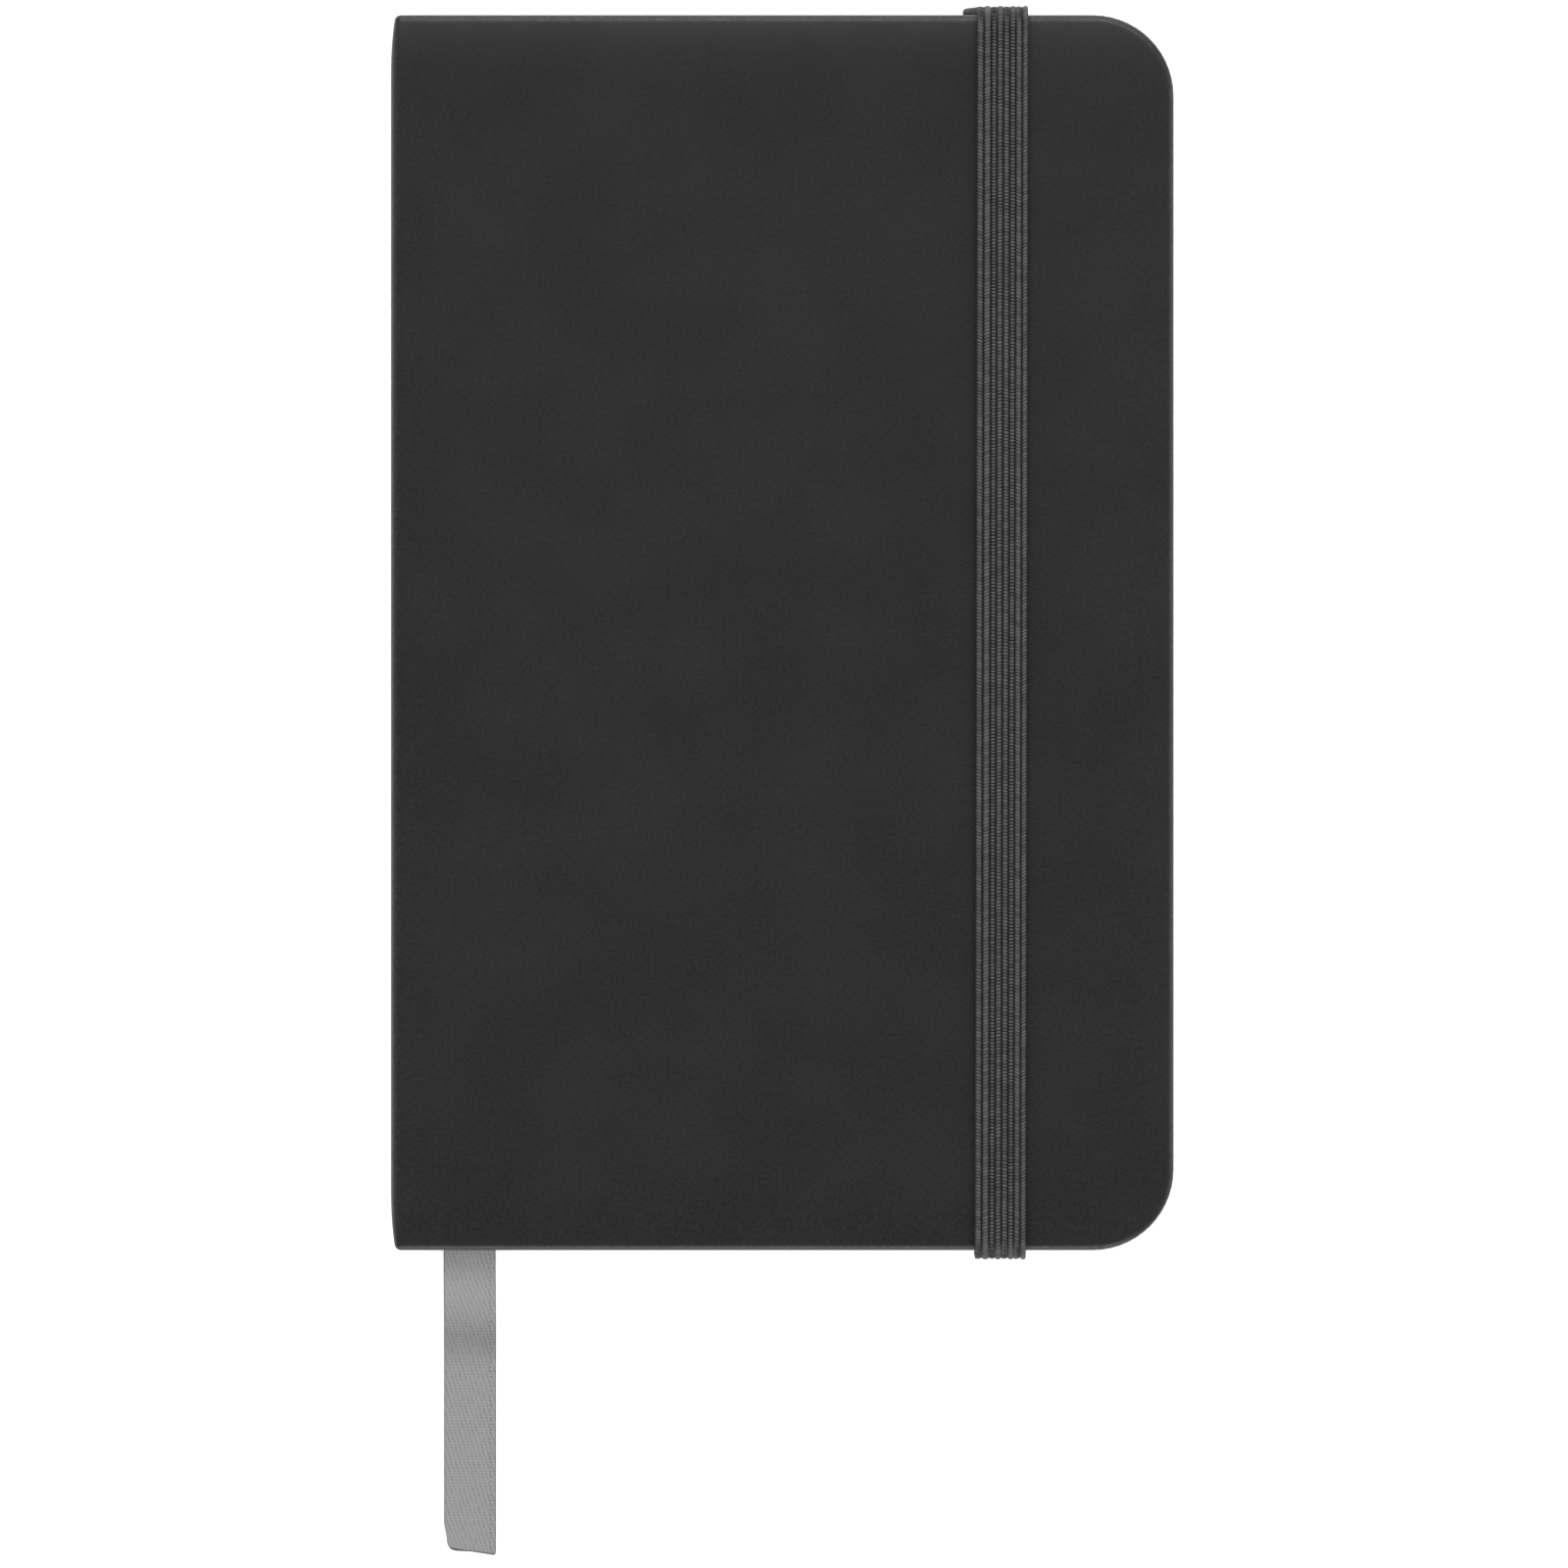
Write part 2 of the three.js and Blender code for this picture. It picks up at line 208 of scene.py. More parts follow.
class Effect:
    """A shader node group that several finishes share, built once."""

    title: ClassVar[str]
    takes: ClassVar[dict[str, float | None]]
    gives: ClassVar[tuple[str, ...]]

    @classmethod
    def wire(cls, graph: Graph, taken: dict[str, Socket]) -> dict[str, Socket]:
        """Wires the group's inside.

        Args:
            graph: the group's tree.
            taken: the group's inputs by name.

        Returns:
            What each output gets, by name.
        """
        raise NotImplementedError

    @classmethod
    def tree(cls) -> bpy.types.NodeTree:
        """Builds the group at its first use.

        Returns:
            The group's tree.
        """
        known = bpy.data.node_groups.get(cls.title)
        if known is not None:
            return known
        made = bpy.data.node_groups.new(cls.title, "ShaderNodeTree")
        for name, value in cls.takes.items():
            kind = "NodeSocketVector" if value is None else "NodeSocketFloat"
            socket = made.interface.new_socket(name=name, in_out="INPUT", socket_type=kind)
            if value is not None:
                socket.default_value = value
        for name in cls.gives:
            made.interface.new_socket(name=name, in_out="OUTPUT", socket_type="NodeSocketFloat")
        graph = Graph(made)
        start = graph.node("NodeGroupInput")
        results = cls.wire(graph, {name: start.outputs[name] for name in cls.takes})
        graph.node("NodeGroupOutput", results)
        return made

    @classmethod
    def place(cls, graph: Graph, inputs: dict[str, float | Socket]) -> bpy.types.NodeOutputs:
        """Puts the group into a material.

        Args:
            graph: the material's tree.
            inputs: the group's inputs by name.

        Returns:
            The group node's outputs.
        """
        return graph.node("ShaderNodeGroup", inputs, node_tree=cls.tree()).outputs


class Grain(Effect):
    """Fine grain with pits, and slow clouds of tone over it."""

    title = "grain"
    takes = {"Vector": None, "Grain Size": 0.0003, "Cloud Size": 0.012}
    gives = ("Height", "Speck", "Cloud")

    @classmethod
    def wire(cls, graph: Graph, taken: dict[str, Socket]) -> dict[str, Socket]:
        """See Effect.wire."""
        place = taken["Vector"]
        fine_scale = graph.over(1.0, taken["Grain Size"])
        cloud_scale = graph.over(1.0, taken["Cloud Size"])
        fine = graph.node("ShaderNodeTexNoise", {"Vector": place, "Scale": fine_scale, "Detail": 2.0})
        pits = graph.node("ShaderNodeTexVoronoi", {"Vector": place, "Scale": fine_scale})
        cloud = graph.node("ShaderNodeTexNoise", {"Vector": place, "Scale": cloud_scale, "Detail": 3.0})
        height = graph.plus(fine.outputs[0], graph.times(pits.outputs[0], 0.5))
        speck = graph.ramp(fine.outputs[0], 0.32, 0.72)
        return {"Height": height, "Speck": speck, "Cloud": graph.ramp(cloud.outputs[0], 0.3, 0.7)}


class Lint(Effect):
    """A few pale specks of dust and short fibres."""

    title = "lint"
    takes = {"Vector": None, "Spacing": 0.006, "Speck Size": 0.00012}
    gives = ("Mask",)

    @classmethod
    def wire(cls, graph: Graph, taken: dict[str, Socket]) -> dict[str, Socket]:
        """See Effect.wire."""
        scale = graph.over(1.0, taken["Spacing"])
        cells = graph.node("ShaderNodeTexVoronoi", {"Vector": taken["Vector"], "Scale": scale})
        reach = graph.over(taken["Speck Size"], taken["Spacing"])
        inside = graph.minus(1.0, graph.over(cells.outputs["Distance"], reach))
        return {"Mask": graph.math("MULTIPLY", inside, 1.0, clamp=True)}


class Weave(Effect):
    """Yarns that cross: raised where one lies on top, deep between them, with a mask of painted shade
    for the deep places.
    """

    title = "weave"
    takes = {"Vector": None, "Across Pitch": 0.0004, "Along Pitch": 0.0004, "Lean": 0.0}
    gives = ("Height", "Gap Shade")

    @classmethod
    def wire(cls, graph: Graph, taken: dict[str, Socket]) -> dict[str, Socket]:
        """See Effect.wire."""
        axes = graph.axes(taken["Vector"])
        across = graph.over(axes[0], taken["Across Pitch"])
        along = graph.over(axes[1], taken["Along Pitch"])
        leaning = graph.plus(along, graph.times(across, taken["Lean"]))
        first = graph.unsigned(graph.wave(across, math.pi))
        second = graph.unsigned(graph.wave(leaning, math.pi))
        height = graph.math("POWER", graph.times(first, second), 0.6)
        # the mask is 1 deep between the yarns, where the finishes paint shade
        return {"Height": height, "Gap Shade": graph.ramp(height, 0.45, 0.05)}


# ----------------------------------------------------------------------
# Finishes


@dataclass(frozen=True)
class Finish:
    """A surface finish, kept as one Blender material."""

    slot: str
    roughness: float
    bump: float
    bump_depth: float

    def paint(self, graph: Graph) -> dict[str, float | Socket]:
        """Wires what changes over the surface.

        Args:
            graph: the material's tree.

        Returns:
            Inputs for the surface shader by name, and "Height" for its bump.
        """
        raise NotImplementedError

    def shine(self) -> dict[str, float]:
        """Shader values that are the same all over."""
        return {}

    def label(self) -> str:
        """The material's name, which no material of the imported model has."""
        return f"{self.slot}_finish"

    def material(self) -> bpy.types.Material:
        """Builds the material at its first use.

        Returns:
            The material.
        """
        known = bpy.data.materials.get(self.label())
        if known is not None:
            return known
        made = bpy.data.materials.new(self.label())
        made.use_nodes = True
        made.node_tree.nodes.clear()
        graph = Graph(made.node_tree)
        painted = self.paint(graph)
        height = painted.pop("Height")
        bump_inputs = {"Height": height, "Strength": self.bump, "Distance": self.bump_depth}
        bump = graph.node("ShaderNodeBump", bump_inputs)
        inputs = {"Roughness": self.roughness, **self.shine(), **painted, "Normal": bump.outputs[0]}
        surface = graph.node("ShaderNodeBsdfPrincipled", inputs)
        graph.node("ShaderNodeOutputMaterial", {"Surface": surface.outputs[0]})
        return made

    def dress(self, *nodes: str) -> None:
        """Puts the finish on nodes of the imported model.

        Args:
            nodes: the nodes' names.
        """
        for name in nodes:
            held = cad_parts[name]
            if not held.data.materials:
                held.data.materials.append(self.material())
            for place in held.material_slots:
                place.material = self.material()


@dataclass(frozen=True)
class SkinFinish(Finish):
    """Soft-touch imitation leather, charcoal black."""

    dark: Colour = (0.0090, 0.0090, 0.0091)
    light: Colour = (0.0265, 0.0265, 0.0268)
    dust: Colour = (0.06, 0.06, 0.06)
    grain_size: float = 0.36 * MM
    cloud_size: float = 11 * MM
    lint_spacing: float = 7 * MM
    lint_size: float = 0.13 * MM
    speck_share: float = 0.75
    cloud_share: float = 0.2
    dust_share: float = 0.5
    unevenness: float = 0.05

    def paint(self, graph: Graph) -> dict[str, float | Socket]:
        """See Finish.paint."""
        place = graph.coordinates()
        grain = Grain.place(
            graph, {"Vector": place, "Grain Size": self.grain_size, "Cloud Size": self.cloud_size}
        )
        lint = Lint.place(
            graph, {"Vector": place, "Spacing": self.lint_spacing, "Speck Size": self.lint_size}
        )
        speck = graph.times(grain["Speck"], self.speck_share)
        cloud = graph.times(grain["Cloud"], self.cloud_share)
        tone = graph.math("ADD", cloud, speck, clamp=True)
        colour = graph.mix(tone, self.dark, self.light)
        colour = graph.mix(graph.times(lint["Mask"], self.dust_share), colour, self.dust)
        dull, bright = self.roughness + self.unevenness, self.roughness - self.unevenness
        rough = graph.ramp(grain["Speck"], 0.0, 1.0, dull, bright)
        return {"Base Color": colour, "Roughness": rough, "Height": grain["Height"]}

    def shine(self) -> dict[str, float]:
        """See Finish.shine."""
        return {"Specular IOR Level": 0.45}


@dataclass(frozen=True)
class BoardFinish(Finish):
    """Grey bookbinding board with short fibres."""

    pale: Colour = (0.33, 0.31, 0.27)
    deep: Colour = (0.2, 0.185, 0.16)
    fibre: float = 0.5 * MM
    cloud_size: float = 6 * MM

    def paint(self, graph: Graph) -> dict[str, float | Socket]:
        """See Finish.paint."""
        place = graph.coordinates()
        grain = Grain.place(
            graph, {"Vector": place, "Grain Size": self.fibre, "Cloud Size": self.cloud_size}
        )
        colour = graph.mix(grain["Speck"], self.deep, self.pale)
        return {"Base Color": colour, "Height": grain["Height"]}


@dataclass(frozen=True)
class PaperFinish(Finish):
    """Uncoated ivory paper, plain or with faint ruled lines."""

    pale: Colour = (0.86, 0.81, 0.69)
    deep: Colour = (0.79, 0.735, 0.605)
    line: Colour = (0.47, 0.46, 0.43)
    line_step: float = 0.0
    first_line: float = 0.0
    line_width: float = 0.16 * MM
    fibre: float = 0.35 * MM
    cloud_size: float = 8 * MM

    def label(self) -> str:
        """See Finish.label."""
        return f"{self.slot}_ruled" if self.line_step else f"{self.slot}_finish"

    def rules(self, graph: Graph, place: Socket) -> Socket:
        """Wires the mask of the ruled lines, which run across the page.

        Args:
            graph: the material's tree.
            place: the object coordinates.

        Returns:
            The mask's socket.
        """
        height = graph.axes(place)[1]
        steps = graph.over(graph.minus(height, self.first_line), self.line_step)
        away = graph.unsigned(graph.minus(graph.math("FRACT", steps), 0.5))
        width = self.line_width / self.line_step
        full_width = 0.3 * self.line_width / self.line_step
        near = graph.ramp(away, width, full_width)
        below_first = graph.math("LESS_THAN", height, self.first_line)
        facing = graph.node("ShaderNodeTexCoord").outputs["Normal"]
        upright = graph.axes(facing)[2]
        flat_enough = 0.7
        on_page = graph.math("GREATER_THAN", graph.unsigned(upright), flat_enough)
        return graph.times(near, graph.times(below_first, on_page))

    def paint(self, graph: Graph) -> dict[str, float | Socket]:
        """See Finish.paint."""
        place = graph.coordinates()
        grain = Grain.place(
            graph, {"Vector": place, "Grain Size": self.fibre, "Cloud Size": self.cloud_size}
        )
        tone = graph.times(graph.plus(grain["Speck"], grain["Cloud"]), 0.5)
        colour = graph.mix(tone, self.deep, self.pale)
        if self.line_step:
            colour = graph.mix(self.rules(graph, place), colour, self.line)
        return {"Base Color": colour, "Height": grain["Height"]}


@dataclass(frozen=True)
class ClothFinish(Finish):
    """Thin open-weave lining cloth, or twisted thread when the yarn leans."""

    yarn: Colour = (0.76, 0.74, 0.68)
    shade: Colour = (0.42, 0.4, 0.36)
    pitch: float = 0.45 * MM
    lean: float = 0.0

    def paint(self, graph: Graph) -> dict[str, float | Socket]:
        """See Finish.paint."""
        place = graph.coordinates()
        quarter = {"Vector": place, "Axis": (0, 1, 0), "Angle": math.pi / 2}
        turned = graph.node("ShaderNodeVectorRotate", quarter).outputs[0]
        pitches = {"Across Pitch": self.pitch, "Along Pitch": self.pitch}
        weave = Weave.place(graph, {"Vector": turned, **pitches, "Lean": self.lean})
        # painted shade between the yarns, in the shade colour
        colour = graph.mix(weave["Gap Shade"], self.yarn, self.shade)
        return {"Base Color": colour, "Height": weave["Height"]}


@dataclass(frozen=True)
class ElasticFinish(Finish):
    """Dark grey woven elastic, with a painted highlight on the crown of its stitches and painted shade,
    near black, between its ribs.
    """

    # the crown colour is a painted highlight on raised stitches; the near-black colour after it is
    # painted shade between the ribs
    crown: Colour = (0.142, 0.142, 0.144)
    valley_shade: Colour = (0.006, 0.006, 0.0062)
    yarn_across: float = 0.11 * MM
    yarn_along: float = 0.13 * MM
    yarn_lean: float = 0.3
    fluff_size: float = 0.2 * MM
    cloud_size: float = 1.6 * MM
    cloud_shade: float = 0.85
    gap_shade: float = 0.72

    def paint(self, graph: Graph) -> dict[str, float | Socket]:
        """See Finish.paint."""
        lay = graph.node("ShaderNodeAttribute", attribute_name=Strip.LAY).outputs["Vector"]
        pile = graph.axes(lay)[2]
        pitches = {"Across Pitch": self.yarn_across, "Along Pitch": self.yarn_along}
        weave = Weave.place(graph, {"Vector": lay, **pitches, "Lean": self.yarn_lean})
        grain = Grain.place(
            graph, {"Vector": lay, "Grain Size": self.fluff_size, "Cloud Size": self.cloud_size}
        )
        # the pile share paints light: raised stitches get the crown highlight, low places and yarn gaps
        # get painted shade
        lifted = graph.ramp(pile, 0.2, 1.0)
        lifted = graph.times(lifted, graph.ramp(grain["Cloud"], 0, 1, self.cloud_shade, 1.0))
        painted_light = graph.times(lifted, graph.ramp(weave["Gap Shade"], 0, 1, 1.0, self.gap_shade))
        colour = graph.mix(painted_light, self.valley_shade, self.crown)
        return {"Base Color": colour, "Height": weave["Height"]}

    def shine(self) -> dict[str, float]:
        """See Finish.shine."""
        return {"Specular IOR Level": 0.35, "Sheen Weight": 0.08, "Sheen Roughness": 0.5}


@dataclass(frozen=True)
class RibbonFinish(Finish):
    """Mid-grey satin ribbon: steep twill lines, dark selvedges and a row of needle marks.

    Each pair of distances says where a dark place ends and where it is full.
    """

    satin: Colour = (0.39, 0.39, 0.392)
    # the twill colour also serves as the painted shade between the yarns
    twill: Colour = (0.22, 0.22, 0.222)
    selvedge: Colour = (0.105, 0.105, 0.107)
    width: float = 6 * MM
    twill_pitch: float = 0.49 * MM
    twill_angle: float = math.radians(17)
    twill_share: float = 0.8
    pick_pitch: float = 0.34 * MM
    wander_scale: float = 1300.0
    wander_share: float = 0.6
    yarn_across: float = 0.16 * MM
    yarn_along: float = 0.2 * MM
    yarn_lean: float = 0.2
    gap_shade_share: float = 0.28
    hem: tuple[float, float] = (0.16 * MM, 0.05 * MM)
    cut: tuple[float, float] = (0.22 * MM, 0.08 * MM)
    mark: tuple[float, float] = (0.12 * MM, 0.03 * MM)
    mark_inset: float = 0.65 * MM
    mark_pitch: float = 0.55 * MM
    mark_share: float = 0.75
    edge_share: float = 0.85

    def twill_lines(self, graph: Graph, lay: Socket, across: Socket, along: Socket) -> Socket:
        """Wires the mask of the twill lines, which wander a little and break up along the ribbon.

        Args:
            graph: the material's tree.
            lay: the place in the cloth.
            across: its part across the ribbon.
            along: its part along the ribbon.

        Returns:
            The mask's socket.
        """
        noise = {"Vector": lay, "Scale": self.wander_scale, "Detail": 3.0}
        wander = graph.node("ShaderNodeTexNoise", noise).outputs[0]
        cosine, sine = math.cos(self.twill_angle), math.sin(self.twill_angle)
        slanted = graph.minus(graph.times(across, cosine), graph.times(along, sine))
        turns = graph.over(slanted, self.twill_pitch)
        wave = graph.wave(graph.plus(turns, graph.times(wander, self.wander_share)))
        broken = graph.wave(along, TURN / self.pick_pitch)
        broken = graph.plus(graph.times(broken, 0.3), graph.times(wander, 1.1))
        return graph.times(graph.ramp(wave, -0.6, 1.0), graph.ramp(broken, 0.1, 0.95))

    def dark_places(self, graph: Graph, across: Socket, along: Socket, to_end: Socket) -> Socket:
        """Wires the mask of the selvedges, the row of needle marks and the cut end.

        Args:
            graph: the material's tree.
            across: the place across the ribbon.
            along: the place along it.
            to_end: the distance from its cut end.

        Returns:
            The mask's socket.
        """
        edge = graph.minus(self.width / 2, graph.unsigned(across))
        hem = graph.ramp(edge, *self.hem)
        off_row = graph.unsigned(graph.minus(across, self.width / 2 - self.mark_inset))
        beat = graph.wave(along, TURN / self.mark_pitch)
        mark = graph.times(graph.ramp(off_row, *self.mark), graph.ramp(beat, 0.2, 0.9))
        cut = graph.ramp(to_end, *self.cut)
        marks = graph.times(mark, self.mark_share)
        return graph.math("MAXIMUM", graph.math("MAXIMUM", hem, marks), cut)

    def paint(self, graph: Graph) -> dict[str, float | Socket]:
        """See Finish.paint."""
        lay = graph.node("ShaderNodeAttribute", attribute_name=Strip.LAY).outputs["Vector"]
        across, along, to_end = graph.axes(lay)
        line = self.twill_lines(graph, lay, across, along)
        pitches = {"Across Pitch": self.yarn_across, "Along Pitch": self.yarn_along}
        yarn = Weave.place(graph, {"Vector": lay, **pitches, "Lean": self.yarn_lean})
        dark = self.dark_places(graph, across, along, to_end)
        colour = graph.mix(graph.times(line, self.twill_share), self.satin, self.twill)
        # painted shade between the yarns, in the twill colour
        colour = graph.mix(graph.times(yarn["Gap Shade"], self.gap_shade_share), colour, self.twill)
        colour = graph.mix(graph.times(dark, self.edge_share), colour, self.selvedge)
        height = graph.minus(graph.times(yarn["Height"], 0.4), line)
        return {"Base Color": colour, "Height": height}

    def shine(self) -> dict[str, float]:
        """See Finish.shine."""
        return {"Specular IOR Level": 0.4, "Sheen Weight": 0.1, "Sheen Roughness": 0.4}


SKIN = SkinFinish("cover_skin", 0.39, 0.12, 0.03 * MM)
BOARD = BoardFinish("board", 0.9, 0.4, 0.05 * MM)
ENDPAPER = PaperFinish("endpaper", 0.88, 0.2, 0.015 * MM, (0.83, 0.78, 0.66), (0.765, 0.71, 0.585))
RULED = PaperFinish("page_paper", 0.88, 0.2, 0.015 * MM, line_step=6 * MM, first_line=55 * MM)
CLOTH = ClothFinish("binding_cloth", 0.92, 0.6, 0.08 * MM)
THREAD = ClothFinish(
    "sewing_thread", 0.8, 0.6, 0.04 * MM, (0.8, 0.79, 0.75), (0.5, 0.48, 0.43), 0.22 * MM, 0.6
)
ELASTIC = ElasticFinish("elastic", 0.72, 0.5, 0.03 * MM)
RIBBON = RibbonFinish("ribbon", 0.5, 0.35, 0.03 * MM)


# ----------------------------------------------------------------------
# Mesh helpers


CREASE = 40.0


@dataclass
class Draft:
    """A mesh in the making: its points and the faces between them."""

    points: list[Point] = field(default_factory=list)
    faces: list[tuple[int, ...]] = field(default_factory=list)

    def row(self, points: Iterable[Point]) -> list[int]:
        """Adds a row of points.

        Args:
            points: the row, in order.

        Returns:
            The points' numbers.
        """
        first = len(self.points)
        self.points.extend(points)
        return list(range(first, len(self.points)))

    def bridge(self, one: Sequence[int], other: Sequence[int], closed: bool = False) -> None:
        """Joins two rows of equal length with quads.

        Args:
            one: the first row.
            other: the row beside it.
            closed: whether the rows are loops.
        """
        count = len(one)
        for i in range(count if closed else count - 1):
            j = (i + 1) % count
            self.faces.append((one[i], one[j], other[j], other[i]))

    def loft(self, loops: Sequence[Sequence[Point]]) -> list[list[int]]:
        """Joins closed loops one after the other, and closes the first and the last.

        Args:
            loops: the loops, each with the same number of points.

        Returns:
            The loops' point numbers.
        """
        rows = [self.row(loop) for loop in loops]
        for one, other in zip(rows, rows[1:]):
            self.bridge(one, other, closed=True)
        self.faces.append(tuple(rows[0]))
        self.faces.append(tuple(reversed(rows[-1])))
        return rows

    def piece(self, name: str, finish: Finish, crease: float = CREASE) -> bpy.types.Object:
        """Makes the Blender object.

        Args:
            name: the piece's name.
            finish: what it is dressed in.
            crease: the angle in degrees from which an edge is sharp.

        Returns:
            The object.
        """
        mesh = bpy.data.meshes.new(name)
        mesh.from_pydata(self.points, [], self.faces)
        shape = bmesh.new()
        shape.from_mesh(mesh)
        bmesh.ops.recalc_face_normals(shape, faces=shape.faces)
        shape.to_mesh(mesh)
        shape.free()
        mesh.shade_smooth()
        mesh.set_sharp_from_angle(angle=math.radians(crease))
        mesh.materials.append(finish.material())
        made = bpy.data.objects.new(name, mesh)
        bpy.context.scene.collection.objects.link(made)
        return made


def smoothstep(value: float) -> float:
    """Eases a share from 0 to 1."""
    held = min(max(value, 0.0), 1.0)
    return held * held * (3 - 2 * held)


# ----------------------------------------------------------------------
# Studio


@dataclass(frozen=True)
class Lamp:
    """A soft area light that looks at the notebook."""

    name: str
    place: Point
    size: tuple[float, float]
    power: float

    def hang(self, target: Vector) -> None:
        """Makes the light.

        Args:
            target: the point that it looks at.
        """
        data = bpy.data.lights.new(self.name, "AREA")
        data.shape = "RECTANGLE"
        data.size, data.size_y = self.size
        data.energy = self.power
        lamp = bpy.data.objects.new(self.name, data)
        lamp.location = self.place
        lamp.rotation_euler = (target - Vector(self.place)).to_track_quat("-Z", "Y").to_euler()
        lamp.visible_camera = False
        bpy.context.scene.collection.objects.link(lamp)


@dataclass(frozen=True)
class Studio:
    """A pale floor, soft light that comes mostly from the head side, and a long lens straight above."""

    view_width: float = 180.2 * MM
    view_centre: tuple[float, float] = (0.2 * MM, -17.4 * MM)
    lens: float = 800.0
    sensor: float = 36.0
    floor_size: float = 8.0
    floor_colour: Colour = (0.93, 0.93, 0.93)
    floor_roughness: float = 0.9
    floor_glow: float = 0.7
    floor_drop: float = 0.02 * MM
    ambient: float = 0.2
    view_depth: float = 50.0
    lamps: tuple[Lamp, ...] = (
        Lamp("head_light", (0.0, 0.84, 1.0), (1.6, 0.16), 11.0),
        Lamp("low_head_light", (0.0, 1.3, 0.35), (1.4, 0.3), 6.0),
        Lamp("left_light", (-1.2, 0.2, 0.55), (0.8, 1.2), 1.5),
        Lamp("right_light", (1.2, 0.0, 0.55), (0.8, 1.2), 4.0),
        Lamp("tail_light", (0.0, -1.2, 0.55), (1.2, 0.6), 9.0),
    )

    def camera(self, top: float) -> None:
        """Makes the camera.

        Args:
            top: the height at which the view has its width.
        """
        data = bpy.data.cameras.new("camera")
        data.sensor_width = self.sensor
        data.lens = self.lens
        data.clip_end = self.view_depth
        made = bpy.data.objects.new("camera", data)
        away = self.view_width * self.lens / self.sensor
        made.location = (*self.view_centre, top + away)
        bpy.context.scene.collection.objects.link(made)
        bpy.context.scene.camera = made

    def floor(self) -> None:
        """Makes the floor."""
        half = self.floor_size / 2
        mesh = bpy.data.meshes.new("floor")
        corners = [(-half, -half, 0), (half, -half, 0), (half, half, 0), (-half, half, 0)]
        mesh.from_pydata(corners, [], [(0, 1, 2, 3)])
        material = bpy.data.materials.new("floor")
        material.use_nodes = True
        surface = material.node_tree.nodes["Principled BSDF"]
        surface.inputs["Base Color"].default_value = (*self.floor_colour, 1)
        surface.inputs["Roughness"].default_value = self.floor_roughness
        surface.inputs["Specular IOR Level"].default_value = 0.0
        surface.inputs["Emission Color"].default_value = (1, 1, 1, 1)
        surface.inputs["Emission Strength"].default_value = self.floor_glow
        mesh.materials.append(material)
        made = bpy.data.objects.new("floor", mesh)
        made.location.z = -self.floor_drop
        bpy.context.scene.collection.objects.link(made)

    def light(self, target: Vector) -> None:
        """Makes the lights and the pale surroundings.

        Args:
            target: the point that the lights look at.
        """
        world = bpy.data.worlds.new("surroundings")
        world.use_nodes = True
        background = world.node_tree.nodes["Background"]
        background.inputs["Color"].default_value = (1, 1, 1, 1)
        background.inputs["Strength"].default_value = self.ambient
        bpy.context.scene.world = world
        bpy.context.scene.view_settings.view_transform = "Standard"
        for lamp in self.lamps:
            lamp.hang(target)


# ----------------------------------------------------------------------
# Case


